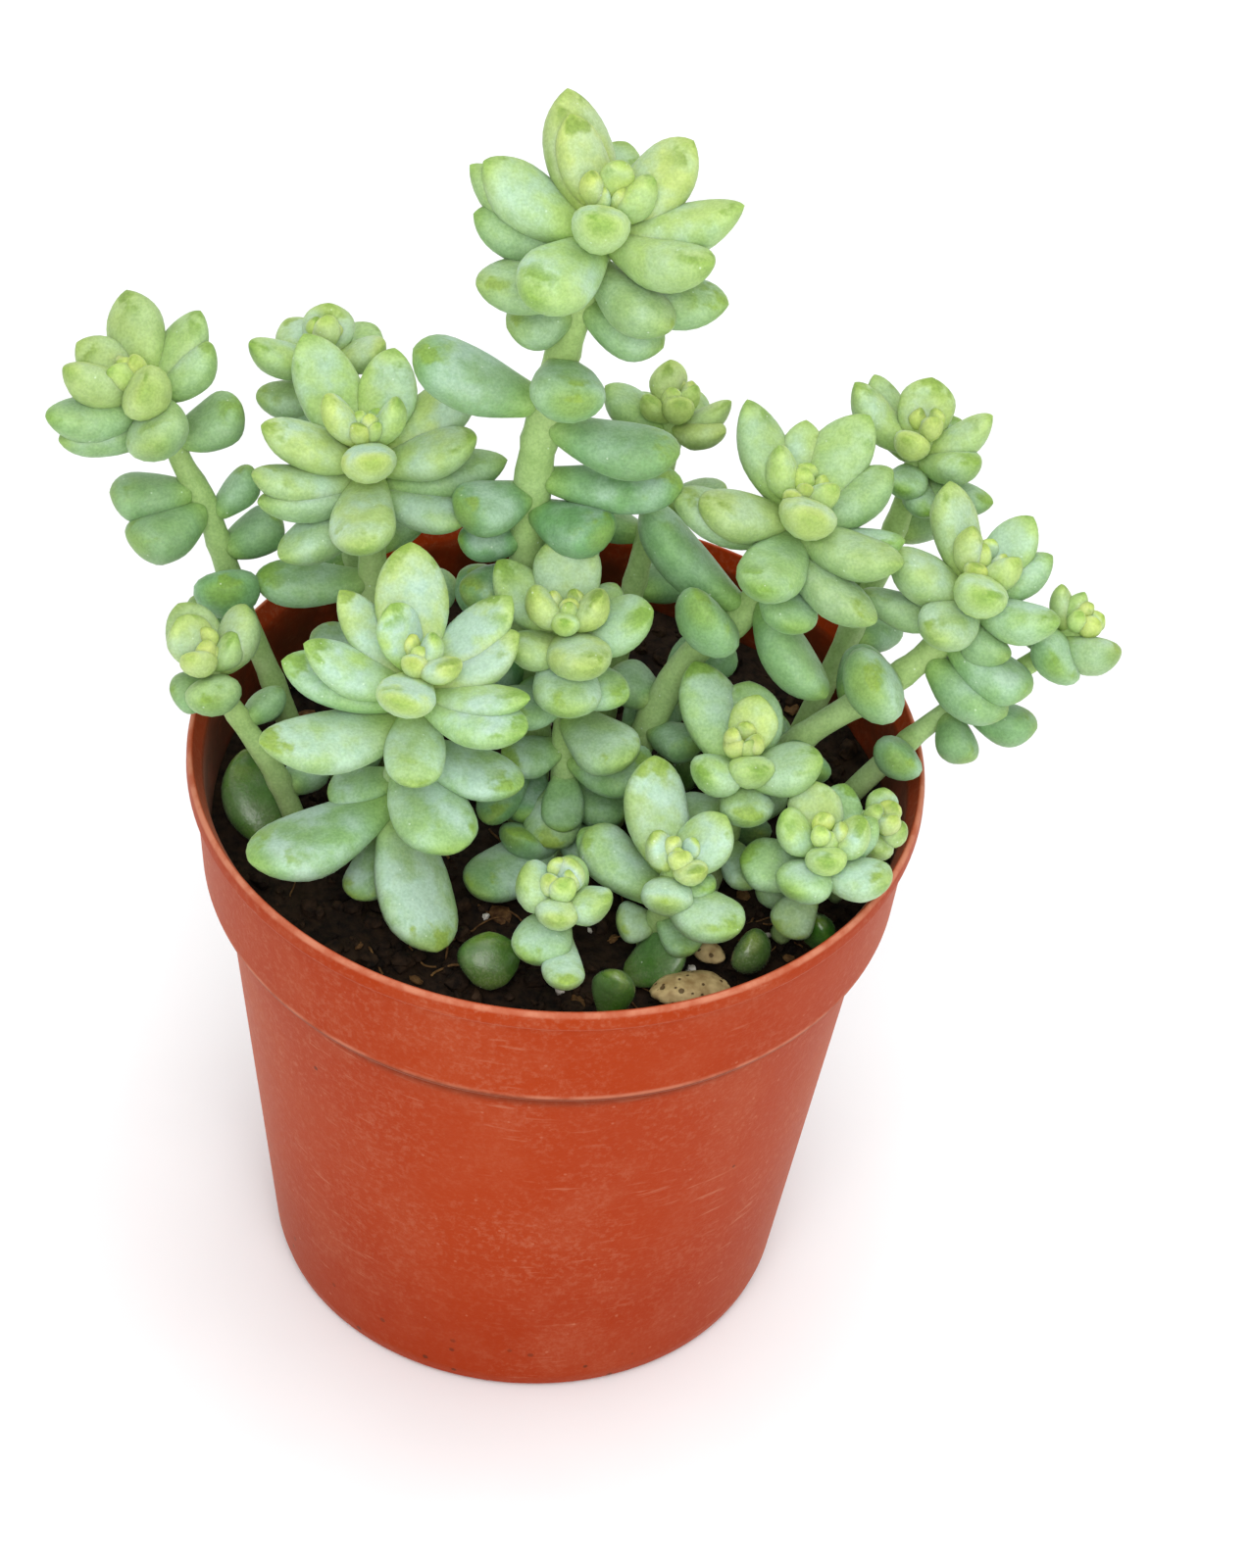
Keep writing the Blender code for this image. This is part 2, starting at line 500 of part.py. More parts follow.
def tube_shape(name, route, radius):
    """A round stem along a route, as a bmesh."""
    curve = bpy.data.curves.new(name, "CURVE")
    curve.dimensions = "3D"
    curve.bevel_depth = radius
    curve.bevel_resolution = 1
    curve.use_fill_caps = True
    spline = curve.splines.new("POLY")
    spline.points.add(len(route) - 1)
    for point, place in zip(spline.points, route):
        point.co = (*place, 1)
    guide = bpy.data.objects.new(name, curve)
    HELPERS.objects.link(guide)
    bm = bmesh.new()
    bm.from_mesh(evaluated_mesh(guide))
    bmesh.ops.remove_doubles(bm, verts=bm.verts, dist=0.001 * MM)
    bpy.data.objects.remove(guide, do_unlink=True)
    return bm


def cut_route(route, start, end):
    """The stretch of a route between two distances from its start."""
    kept = [point_along(route, start)[0]]
    travelled = 0.0
    for before, after in zip(route, route[1:]):
        travelled += (after - before).length
        if start + GAP < travelled < end - GAP:
            kept.append(after)
    return kept + [point_along(route, end)[0]]


def biggest_piece(bm):
    """Delete all but the largest connected piece."""
    left = set(bm.verts)
    pieces = []
    while left:
        piece = set()
        edge_of_piece = [left.pop()]
        while edge_of_piece:
            vert = edge_of_piece.pop()
            piece.add(vert)
            for edge in vert.link_edges:
                other = edge.other_vert(vert)
                if other in left:
                    left.remove(other)
                    edge_of_piece.append(other)
        pieces.append(piece)
    pieces.sort(key=len)
    for piece in pieces[:-1]:
        bmesh.ops.delete(bm, geom=list(piece), context="VERTS")


def boolean_with(obj, name, operation, helpers):
    group = bpy.data.collections.new(name)
    HELPERS.children.link(group)
    for helper in helpers:
        group.objects.link(helper)
    modifier = obj.modifiers.new(name, "BOOLEAN")
    modifier.operation = operation
    modifier.solver = "EXACT"
    modifier.operand_type = "COLLECTION"
    modifier.collection = group


def box_of(bm, margin):
    low = Vector(min(v.co[axis] for v in bm.verts) - margin for axis in range(3))
    high = Vector(max(v.co[axis] for v in bm.verts) + margin for axis in range(3))
    return low, high


def boxes_meet(a, b):
    return all(a[0][axis] <= b[1][axis] and b[0][axis] <= a[1][axis] for axis in range(3))


def grow_part(name, shapes, colour):
    """One body from overlapping shapes, cut back where it would press into an earlier one.

    Each shape is a function that makes it, a little larger when given a margin."""
    first = add_mesh(name, shapes[0](0), PLANT)
    others = [add_helper(f"{name}_piece", shape(0)) for shape in shapes[1:]]
    if others:
        boolean_with(first, f"{name}_join", "UNION", others)
    bm = bmesh.new()
    bm.from_mesh(evaluated_mesh(first))
    reach = box_of(bm, GAP)
    bm.free()
    near = [shape(GAP) for box, shape in GROWN if boxes_meet(box, reach)]
    if near:
        boolean_with(first, f"{name}_clear", "DIFFERENCE", [add_helper(f"{name}_clear", bm) for bm in near])
    bm = bmesh.new()
    bm.from_mesh(evaluated_mesh(first))
    biggest_piece(bm)
    bmesh.ops.remove_doubles(bm, verts=bm.verts, dist=0.0005 * MM)
    for helper in list(HELPERS.all_objects):
        if helper.name.startswith(name):
            bpy.data.objects.remove(helper, do_unlink=True)
    bpy.data.objects.remove(first, do_unlink=True)
    part = add_mesh(name, bm, PLANT)
    finish_part(part, colour, 0.5)
    for shape in shapes:
        bm = shape(GAP)
        GROWN.append((box_of(bm, GAP), shape))
        bm.free()


def leaf_maker(joint, offset, width, upward):
    return lambda grow: leaf_shape(joint, offset, width, upward, grow)


def tube_maker(name, route, radius):
    return lambda grow: tube_shape(name, route, radius + grow)


def build_shoot(name, plan):
    route = smooth_route([Vector(point) * MM for point in plan["stem"]], 2)
    length = sum((end - start).length for start, end in zip(route, route[1:]))
    crown = plan["crown"] * MM
    radius = plan["radius"] * MM
    stem = cut_route(route, crown + 2 * GAP, length)
    core = cut_route(route, 0, crown)
    stem_shapes = [tube_maker(f"stem_{name}", stem, radius)]
    rosette_shapes = [tube_maker(f"rosette_{name}", core, radius)]
    for drop, right, back, up, width in plan["leaves"]:
        joint, upward = point_along(route, drop * MM)
        shape = leaf_maker(joint, Vector((right, back, up)) * MM, width * MM, upward)
        if drop * MM > crown:
            stem_shapes.append(shape)
        else:
            rosette_shapes.append(shape)
    grow_part(f"stem_{name}", stem_shapes, STEM_GREEN)
    grow_part(f"rosette_{name}", rosette_shapes, LEAF_GREEN)


def build_sprouts():
    for name, (foot, tip, width) in SPROUTS.items():
        shape = leaf_maker(Vector(foot) * MM, Vector(tip) * MM, width * MM, Vector((0, 1, 1)))
        grow_part(name, [shape], DEEP_GREEN)


def pebble_shape(middle, half_sizes, turn):
    bm = bmesh.new()
    bmesh.ops.create_icosphere(bm, subdivisions=2, radius=1)
    place = Matrix.Translation(Vector(middle) * MM) @ Matrix.Rotation(math.radians(turn), 4, "Z")
    bmesh.ops.transform(bm, matrix=place @ Matrix.Diagonal((*(Vector(half_sizes) * MM), 1)), verts=bm.verts)
    return bm


def pebble_maker(middle, half_sizes, turn):
    return lambda grow: pebble_shape(middle, [size + grow / MM for size in half_sizes], turn)


def build_litter():
    for name, (middle, half_sizes, turn) in PEBBLES.items():
        grow_part(name, [pebble_maker(middle, half_sizes, turn)], STONE_TAN)
    for name, (points, radius) in STRAWS.items():
        route = smooth_route([Vector(point) * MM for point in points], 2)
        grow_part(name, [tube_maker(name, route, radius * MM)], STRAW)


GROWN = []
clear_scene()
PLANT = make_collection("potted_burros_tail")
HELPERS = make_collection("cutters_and_helpers")
build_pot()
build_soil()
for shoot, plan in SHOOTS.items():
    build_shoot(shoot, plan)
build_sprouts()
build_litter()
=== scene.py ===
# The looks of a burro's tail plant in a small plastic nursery pot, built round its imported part.
# Metres, +Z up. The pot stands on z = 0 and the plant's front faces -Y.

import math
import random

import bpy
import numpy as np
from mathutils import Matrix, Vector, noise


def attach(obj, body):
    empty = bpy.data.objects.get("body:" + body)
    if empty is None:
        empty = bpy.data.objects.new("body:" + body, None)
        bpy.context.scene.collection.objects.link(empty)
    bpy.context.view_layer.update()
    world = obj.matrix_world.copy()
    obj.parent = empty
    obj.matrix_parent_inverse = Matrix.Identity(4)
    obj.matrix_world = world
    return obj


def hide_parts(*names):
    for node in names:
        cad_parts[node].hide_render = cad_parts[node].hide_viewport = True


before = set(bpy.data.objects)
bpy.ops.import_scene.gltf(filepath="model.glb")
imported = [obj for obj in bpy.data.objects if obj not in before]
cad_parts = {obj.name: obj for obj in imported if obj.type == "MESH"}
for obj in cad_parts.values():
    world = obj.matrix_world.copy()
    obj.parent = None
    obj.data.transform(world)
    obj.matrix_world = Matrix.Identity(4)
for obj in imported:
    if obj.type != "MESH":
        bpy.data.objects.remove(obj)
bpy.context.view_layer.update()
mm = 0.001
print("frame loaded:", len(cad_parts), "nodes")


# Camera, light and floor

camera = {
    "target": (0, 0, 75),  # the middle of the pot's rim, in mm
    "distance": 1069,
    "elevation": 42.96,
    "pan": 0.43,
    "tilt": -0.14,
    "roll": 4.16,
    "lens": 213.16,
    "sensor": 36,
    "reach": 20,  # how far it sees, in metres
}


def addObject(name, data):
    obj = bpy.data.objects.new(name, data)
    bpy.context.scene.collection.objects.link(obj)
    return obj


def turnPair(first, second, degrees):
    c, s = math.cos(math.radians(degrees)), math.sin(math.radians(degrees))
    return first * c + second * s, second * c - first * s


def setUpCamera():
    rise = math.radians(camera["elevation"])
    away = Vector((0, -math.cos(rise), math.sin(rise)))
    ahead, right = -away, Vector((1, 0, 0))
    up = right.cross(ahead)
    ahead, right = turnPair(ahead, right, camera["pan"])
    ahead, up = turnPair(ahead, up, camera["tilt"])
    right, up = turnPair(right, up, camera["roll"])
    data = bpy.data.cameras.new("camera")
    data.lens = camera["lens"]
    data.sensor_width = camera["sensor"]
    data.clip_end = camera["reach"]
    obj = addObject("camera", data)
    turn = Matrix((right, up, -ahead)).transposed().to_4x4()
    place = (away * camera["distance"] + Vector(camera["target"])) * mm
    obj.matrix_world = Matrix.Translation(place) @ turn
    bpy.context.scene.camera = obj


studio = {
    "sky": 0.8,  # even light from all round
    "lamps": {  # place in mm, side in mm, watts
        "keyPanel": ((-40, -820, 980), 640, 6.6),
        "topPanel": ((120, 160, 1150), 700, 3.4),
        "frontPanel": ((420, -940, 360), 560, 2.0),
    },
    "floorColour": (0.93, 0.95, 0.96),
    "floorSide": 3000, "floorDrop": 0.05,  # in mm
}


def setUpStudio():
    world = bpy.data.worlds.new("studioSky")
    world.use_nodes = True
    sky = world.node_tree.nodes["Background"]
    sky.inputs["Color"].default_value = (1, 1, 1, 1)
    sky.inputs["Strength"].default_value = studio["sky"]
    bpy.context.scene.world = world
    bpy.context.scene.view_settings.view_transform = "Standard"
    for name, (place, side, power) in studio["lamps"].items():
        data = bpy.data.lights.new(name, "AREA")
        data.size = side * mm
        data.energy = power
        lamp = addObject(name, data)
        lamp.location = Vector(place) * mm
        aim = Vector(camera["target"]) * mm - lamp.location
        lamp.rotation_euler = aim.to_track_quat("-Z", "Y").to_euler()


# Shader nodes

def feed(tree, socket, value):
    # a socket takes another socket's output, a colour or a number
    if isinstance(value, bpy.types.NodeSocket):
        tree.links.new(value, socket)
    elif socket.type == "RGBA":
        socket.default_value = (*value[:3], 1)
    else:
        socket.default_value = value


def addNode(tree, kind, inputs={}, **settings):
    node = tree.nodes.new(kind if kind.startswith("Node") else "ShaderNode" + kind)
    for name, value in settings.items():
        setattr(node, name, value)
    for name, value in inputs.items():
        feed(tree, node.inputs[name], value)
    return node


def calc(tree, operation, *values):
    return addNode(tree, "Math", dict(enumerate(values)), operation=operation).outputs[0]


def times(tree, value, *others):
    for other in others:
        value = calc(tree, "MULTIPLY", value, other)
    return value


def objectPlace(tree):
    return addNode(tree, "TexCoord").outputs["Object"]


def readMark(tree, name):
    # three numbers that the mesh carries at each point
    mark = addNode(tree, "Attribute", attribute_name=name).outputs["Vector"]
    return addNode(tree, "SeparateXYZ", {0: mark}).outputs


def ease(tree, value, low, high, toLow=0.0, toHigh=1.0):
    ends = {"Value": value, "From Min": low, "From Max": high, "To Min": toLow, "To Max": toHigh}
    return addNode(tree, "MapRange", ends, interpolation_type="SMOOTHSTEP").outputs["Result"]


def blend(tree, amount, first, second, how="MIX"):
    node = addNode(tree, "Mix", data_type="RGBA", blend_type=how)
    for index, value in ((0, amount), (6, first), (7, second)):  # the sockets that a colour mix shows
        feed(tree, node.inputs[index], value)
    return node.outputs[2]


def noiseAt(tree, place, scale, detail, rough):
    inputs = {"Vector": place, "Scale": scale, "Detail": detail, "Roughness": rough}
    return addNode(tree, "TexNoise", inputs).outputs["Fac"]


def between(tree, value, start, full, fading, end):
    return times(tree, ease(tree, value, start, full), ease(tree, value, fading, end, 1, 0))


def blotches(tree, place, look, low, high, toLow=0.0, toHigh=1.0):
    # soft patches; look is the noise's scale, detail and roughness
    return ease(tree, noiseAt(tree, place, *look), low, high, toLow, toHigh)


def dotsAt(tree, place, scale, size):
    # round specks, one for each cell
    cells = addNode(tree, "TexVoronoi", {"Vector": place, "Scale": scale})
    keep = addNode(tree, "SeparateColor", {"Color": cells.outputs["Color"]})
    dot = ease(tree, cells.outputs["Distance"], size * 0.6, size, 1, 0)
    return times(tree, dot, calc(tree, "GREATER_THAN", keep.outputs[0], 0.55))


def newGroup(name, inputs, outputs):
    group = bpy.data.node_groups.new(name, "ShaderNodeTree")
    kinds = {"colour": "NodeSocketColor", "vector": "NodeSocketVector", "value": "NodeSocketFloat"}
    for label, kind in inputs.items():
        group.interface.new_socket(label, in_out="INPUT", socket_type=kinds[kind])
    for label, kind in outputs.items():
        group.interface.new_socket(label, in_out="OUTPUT", socket_type=kinds[kind])
    return group, addNode(group, "NodeGroupInput").outputs, addNode(group, "NodeGroupOutput").inputs


def useGroup(tree, group, inputs):
    return addNode(tree, "Group", inputs, node_tree=group).outputs


def buildGrain():
    # fine tooth of a surface: a height, and a grey that goes with it
    group, given, out = newGroup(
        "fineGrain", {"Place": "vector", "Scale": "value"}, {"Height": "value", "Shade": "value"})
    place, scale = given["Place"], given["Scale"]
    fine = noiseAt(group, place, scale, 2, 0.6)
    wide = noiseAt(group, place, times(group, scale, 0.21), 2, 0.5)
    height = calc(group, "ADD", times(group, fine, 0.6), times(group, wide, 0.4))
    group.links.new(height, out["Height"])
    group.links.new(ease(group, height, 0.3, 0.7), out["Shade"])
    return group


def buildDust():
    # pale dust in patches with small specks, and a mask of where it lies
    group, given, out = newGroup(
        "dustAndSpecks",
        {"Place": "vector", "Base": "colour", "Dust": "colour", "Amount": "value", "Scale": "value"},
        {"Colour": "colour", "Mask": "value"})
    place, scale = given["Place"], given["Scale"]
    patches = blotches(group, place, (scale, 4, 0.62), 0.42, 0.72)
    powder = blotches(group, place, (times(group, scale, 34), 2, 0.7), 0.42, 0.68)
    specks = dotsAt(group, place, times(group, scale, 13), 0.13)
    veil = times(group, patches, calc(group, "MULTIPLY_ADD", powder, 0.75, 0.5))
    mask = times(group, calc(group, "MAXIMUM", veil, specks), given["Amount"])
    group.links.new(blend(group, mask, given["Base"], given["Dust"]), out["Colour"])
    group.links.new(mask, out["Mask"])
    return group


skinShades = ("Young", "Grown", "Old", "Tip", "Foot", "Bloom")


def buildSkin(grain):
    # a succulent's skin: colour by age, a darker underside that is painted shade, a pale bloom, an olive tip
    # and spots, and a yellow-olive foot that is partly painted shade
    group, given, out = newGroup(
        "succulentSkin",
        {**{shade: "colour" for shade in skinShades}, "Bloom Amount": "value", "Spots": "value"},
        {"Colour": "colour", "Roughness": "value", "Height": "value"})
    along, _, face = readMark(group, "leafPlace")
    age, tint, pale = readMark(group, "leafKind")
    spot = objectPlace(group)
    shift = addNode(group, "CombineXYZ", {0: tint, 1: tint}).outputs[0]
    shifted = addNode(group, "VectorMath", {0: spot, 1: shift}, operation="ADD").outputs[0]
    colour = blend(group, ease(group, age, 0, 0.45), given["Young"], given["Grown"])
    colour = blend(group, ease(group, age, 0.45, 1), colour, given["Old"])
    upper = ease(group, face, -0.5, 0.75)
    # the underside is painted darker towards the Old colour, more on older leaves: painted shade
    paintedUnderShade = times(group, calc(group, "SUBTRACT", 1, upper), ease(group, age, 0, 0.5, 0.1, 0.42))
    colour = blend(group, paintedUnderShade, colour, given["Old"])
    # the base of each leaf is painted a darker yellow-olive: partly its own yellower tone, partly painted
    # shade where the leaves overlap
    foot = times(group, ease(group, along, 0.08, 0.34, 1, 0), 0.6)
    colour = blend(group, foot, colour, given["Foot"])
    cloud = blotches(group, shifted, (210, 3, 0.52), 0.32, 0.68)
    middle = between(group, along, 0.2, 0.5, 0.78, 0.97)
    bloom = times(group, cloud, middle, calc(group, "MULTIPLY_ADD", upper, 0.75, 0.5))
    bloom = times(group, bloom, pale, given["Bloom Amount"])
    colour = blend(group, bloom, colour, given["Bloom"])
    tip = times(group, ease(group, along, 0.88, 1.0), calc(group, "MULTIPLY_ADD", tint, 0.3, 0.5))
    colour = blend(group, tip, colour, given["Tip"])
    patch = blotches(group, shifted, (300, 3, 0.5), 0.5, 0.62)
    near = times(group, ease(group, along, 0.64, 0.88), ease(group, face, 0.1, 0.6))
    spots = times(group, patch, near, given["Spots"])
    colour = blend(group, spots, colour, given["Tip"])
    hue, value = ease(group, tint, 0, 1, 0.49, 0.512), ease(group, pale, 0, 1, 0.92, 1.08)
    shine = addNode(group, "HueSaturation", {"Hue": hue, "Value": value, "Color": colour}).outputs[0]
    fine = useGroup(group, grain, {"Place": shifted, "Scale": 3000})
    greys = blend(group, fine["Shade"], (0.35, 0.35, 0.35), (1, 1, 1))
    shine = blend(group, 0.42, shine, greys, "SOFT_LIGHT")
    # small wet dots: glossier in the roughness, and painted pale in the colour as painted highlights
    wetDotsAndGlint = dotsAt(group, shifted, 620, 0.09)
    shine = blend(group, times(group, wetDotsAndGlint, 0.5), shine, (0.7, 0.82, 0.66))
    group.links.new(shine, out["Colour"])
    dull = calc(group, "ADD", 0.47, times(group, bloom, 0.3))
    group.links.new(calc(group, "SUBTRACT", dull, times(group, wetDotsAndGlint, 0.25)), out["Roughness"])
    group.links.new(calc(group, "ADD", fine["Height"], times(group, cloud, 0.8)), out["Height"])
    return group


def newMaterial(name):
    material = bpy.data.materials.new(name)
    material.use_nodes = True
    return material, material.node_tree, material.node_tree.nodes["Principled BSDF"]


def wire(tree, shader, colour, roughness, height, depth, **steady):
    # what varies is linked, and what is the same all over goes on the shader's own sockets
    bump = addNode(tree, "Bump", {"Height": height, "Distance": depth, "Strength": 1.0})
    linked = {"Base_Color": colour, "Roughness": roughness, "Normal": bump.outputs["Normal"]}
    for name, value in (linked | steady).items():
        feed(tree, shader.inputs[name.replace("_", " ")], value)


grain = buildGrain()
dust = buildDust()
skin = buildSkin(grain)

# the Old colour is also the painted shade on a leaf's underside, and the Foot colour is partly painted shade
# at a leaf's base
skins = {
    "leafSkin": {
        "polish": 0.0, "specular": 0.22,
        "young": (0.455, 0.575, 0.135), "grown": (0.265, 0.415, 0.165), "old": (0.13, 0.28, 0.105),
        "tip": (0.19, 0.31, 0.05), "foot": (0.26, 0.4, 0.08), "bloom": (0.357, 0.515, 0.402),
        "bloomAmount": 1.0, "spots": 0.9, "dust": 0.14, "glow": 0.26,
    },
    "stemSkin": {
        "polish": 0.0, "specular": 0.22,
        "young": (0.36, 0.52, 0.17), "grown": (0.33, 0.48, 0.17), "old": (0.26, 0.4, 0.13),
        "tip": (0.26, 0.36, 0.08), "foot": (0.33, 0.47, 0.15), "bloom": (0.4, 0.55, 0.34),
        "bloomAmount": 0.5, "spots": 0.2, "dust": 0.2, "glow": 0.12,
    },
    "lowLeafSkin": {
        "polish": 0.22, "specular": 0.5,
        "young": (0.12, 0.22, 0.03), "grown": (0.04, 0.12, 0.009), "old": (0.01, 0.038, 0.003),
        "tip": (0.13, 0.2, 0.025), "foot": (0.07, 0.12, 0.01), "bloom": (0.15, 0.28, 0.12),
        "bloomAmount": 0.5, "spots": 0.5, "dust": 0.25, "glow": 0.1,
    },
}


def buildSkinMaterial(name):
    plan = skins[name]
    material, tree, shader = newMaterial(name)
    shades = {shade: plan[shade.lower()] for shade in skinShades}
    made = useGroup(tree, skin, {**shades, "Bloom Amount": plan["bloomAmount"], "Spots": plan["spots"]})
    dusty = useGroup(tree, dust, {
        "Place": objectPlace(tree), "Base": made["Colour"], "Dust": (0.4, 0.42, 0.26),
        "Amount": plan["dust"], "Scale": 95})
    rough = calc(tree, "SUBTRACT", made["Roughness"], plan["polish"])
    wire(tree, shader, dusty["Colour"], rough, made["Height"], 0.00005,
         Subsurface_Weight=plan["glow"], Subsurface_Scale=0.0022, Subsurface_Radius=(0.75, 1.0, 0.35),
         Specular_IOR_Level=plan["specular"],
         Sheen_Weight=0.04, Sheen_Roughness=0.5, Sheen_Tint=(0.85, 1, 0.8))
    return material


materials = {name: buildSkinMaterial(name) for name in skins}

plastic = {
    # deep is the darker red painted low on the wall as painted shade
    "colour": (0.365, 0.0385, 0.0032), "deep": (0.3, 0.027, 0.002), "dust": (0.47, 0.17, 0.095),
    # worn is pale wear and painted highlight; grime is dirt and painted shade
    "wornAndHighlight": (0.52, 0.19, 0.11), "grimeAndShade": (0.05, 0.016, 0.006),
    "roughness": 0.5, "dustRoughness": 0.5, "toothRoughness": 0.06,
    "amounts": {"lowShade": 0.75, "scuffs": 0.42, "mottle": 0.32, "flecks": 0.4, "dust": 0.17, "step": 0.5,
                "inside": 0.9, "marks": 0.7},
    "stretch": {"streaks": (1, 1, 0.28), "scuffs": (0.12, 0.12, 1)},
    # heights and radii in mm
    "lowWall": (2, 34), "splash": (3, 12), "rimTop": 74.2, "rimOut": (41.8, 42.2), "bandFoot": 59.0,
    # from the band's foot: where the painted shade under the band lies, then the pale line of wear and
    # painted highlight, and how far out that line lies
    "step": (-4.2, -2.6, 0.2, 0.8), "wornStepAndHighlight": (0.1, 0.4, 0.6, 1.1), "wornStepAndHighlightOut": (39.6, 39.9),
    "innerRadius": 39.5, "innerSlope": 0.085, "soilLine": (68, 74.4),
}


def buildPlastic():
    material, tree, shader = newMaterial("potPlastic")
    amounts, foot, spot = plastic["amounts"], plastic["bandFoot"], objectPlace(tree)
    right, back, height = addNode(tree, "SeparateXYZ", {0: spot}).outputs
    out = calc(tree, "SQRT", calc(tree, "ADD", times(tree, right, right), times(tree, back, back)))
    streaks, scuffed = (addNode(tree, "VectorMath", {0: spot, 1: by}, operation="MULTIPLY").outputs[0]
                        for by in plastic["stretch"].values())

    def rise(value, low, high, toLow=0.0, toHigh=1.0):
        return ease(tree, value, low * mm, high * mm, toLow, toHigh)

    def fromFoot(name):
        return between(tree, height, *((foot + far) * mm for far in plastic[name]))

    # lower on the wall the colour is painted darker, towards the deep colour: painted shade. The upright
    # streaks are the plastic's own uneven tone, and lowWall also thins the pale mottle low down.
    lowWall = rise(height, *plastic["lowWall"], 1, 0)
    streaksAndLowShade = times(tree, lowWall, amounts["lowShade"])
    streaksAndLowShade = calc(tree, "ADD", noiseAt(tree, streaks, 42, 3, 0.5), streaksAndLowShade)
    colour = blend(tree, streaksAndLowShade, plastic["colour"], plastic["deep"])
    scuffs = times(tree, blotches(tree, scuffed, (1500, 2, 0.6), 0.6, 0.72),
                   blotches(tree, spot, (70, 2, 0.5), 0.46, 0.66))
    mottle = times(tree, blotches(tree, spot, (1150, 4, 0.72), 0.46, 0.7),
                   blotches(tree, spot, (55, 3, 0.5), 0.3, 0.65, 0.3, 1),
                   calc(tree, "SUBTRACT", 1, times(tree, lowWall, 0.5)))
    flecks = dotsAt(tree, spot, 420, 0.1)
    for mask, amount in ((scuffs, "scuffs"), (mottle, "mottle"), (flecks, "flecks")):
        colour = blend(tree, times(tree, mask, amounts[amount]), colour, plastic["dust"])
    layer = useGroup(tree, dust, {
        "Place": spot, "Base": colour, "Dust": plastic["dust"], "Amount": amounts["dust"], "Scale": 90})
    top = plastic["rimTop"]
    # a pale line along the top of the rim: partly wear, partly a painted highlight
    wornEdgeAndHighlight = times(tree, rise(height, top, top + 0.5), rise(out, *plastic["rimOut"]),
                     blotches(tree, spot, (260, 4, 0.6), 0.35, 0.6, 0.4, 1))
    # a dark strip on the body just under the band's overhang, towards the grime colour: painted shade
    step = times(tree, fromFoot("step"), amounts["step"])
    # a pale line along the lower edge of the band: partly wear, partly a painted highlight
    wornStepAndHighlight = times(tree, fromFoot("wornStepAndHighlight"), rise(out, *plastic["wornStepAndHighlightOut"]),
                     blotches(tree, spot, (200, 3, 0.6), 0.35, 0.6, 0.1, 0.6))
    # the inner wall is painted darker towards the grime colour, more so lower down near the soil: partly soil
    # dirt, partly painted shade
    depth = calc(tree, "SUBTRACT", height, foot * mm)
    wall = calc(tree, "SUBTRACT", out, times(tree, depth, plastic["innerSlope"]))
    inside = rise(wall, plastic["innerRadius"], plastic["innerRadius"] + 0.2, 1, 0)
    inside = times(tree, inside, calc(tree, "GREATER_THAN", depth, 1 * mm), amounts["inside"],
                   blotches(tree, spot, (150, 4, 0.6), 0.25, 0.6, 0.45, 1),
                   rise(height, *plastic["soilLine"], 1, 0.5))
    splash = times(tree, dotsAt(tree, spot, 330, 0.15), rise(height, *plastic["splash"], 1, 0))
    marks = times(tree, calc(tree, "MAXIMUM", dotsAt(tree, spot, 160, 0.06), splash), amounts["marks"])
    colour = layer["Colour"]
    layers = ((wornEdgeAndHighlight, "wornAndHighlight"), (step, "grimeAndShade"), (wornStepAndHighlight, "wornAndHighlight"), (inside, "grimeAndShade"), (marks, "grimeAndShade"))
    for mask, paint in layers:
        colour = blend(tree, mask, colour, plastic[paint])
    tooth = useGroup(tree, grain, {"Place": spot, "Scale": 2600})
    rough = calc(tree, "ADD", plastic["roughness"], times(tree, layer["Mask"], plastic["dustRoughness"]))
    rough = calc(tree, "ADD", rough, times(tree, tooth["Shade"], plastic["toothRoughness"]))
    wire(tree, shader, colour, rough, tooth["Height"], 0.00004, Specular_IOR_Level=0.05,
         Sheen_Weight=0.16, Sheen_Roughness=0.35, Sheen_Tint=(1, 0.55, 0.38))
    return material


litter = {
    "pottingSoil": {"dark": (0.004, 0.003, 0.0025), "light": (0.04, 0.021, 0.01), "dust": 0.1,
                    "scale": 900, "depth": 0.0002, "roughness": 0.9},
    "perliteGrain": {"dark": (0.42, 0.38, 0.3), "light": (0.82, 0.8, 0.73), "dust": 0.3,
                     "scale": 1800, "depth": 0.0001, "roughness": 0.85},
    "rootFibre": {"dark": (0.05, 0.02, 0.007), "light": (0.24, 0.13, 0.045), "dust": 0.2,
                  "scale": 1500, "depth": 0.00005, "roughness": 0.75},
    "riverStone": {"dark": (0.27, 0.17, 0.065), "light": (0.6, 0.46, 0.22), "dust": 0.5,
                   "scale": 700, "depth": 0.00025, "roughness": 0.6, "pits": 0.85},
    "driedSkin": {"dark": (0.12, 0.07, 0.012), "light": (0.5, 0.36, 0.12), "dust": 0.3,
                  "scale": 600, "depth": 0.0002, "roughness": 0.7},
}


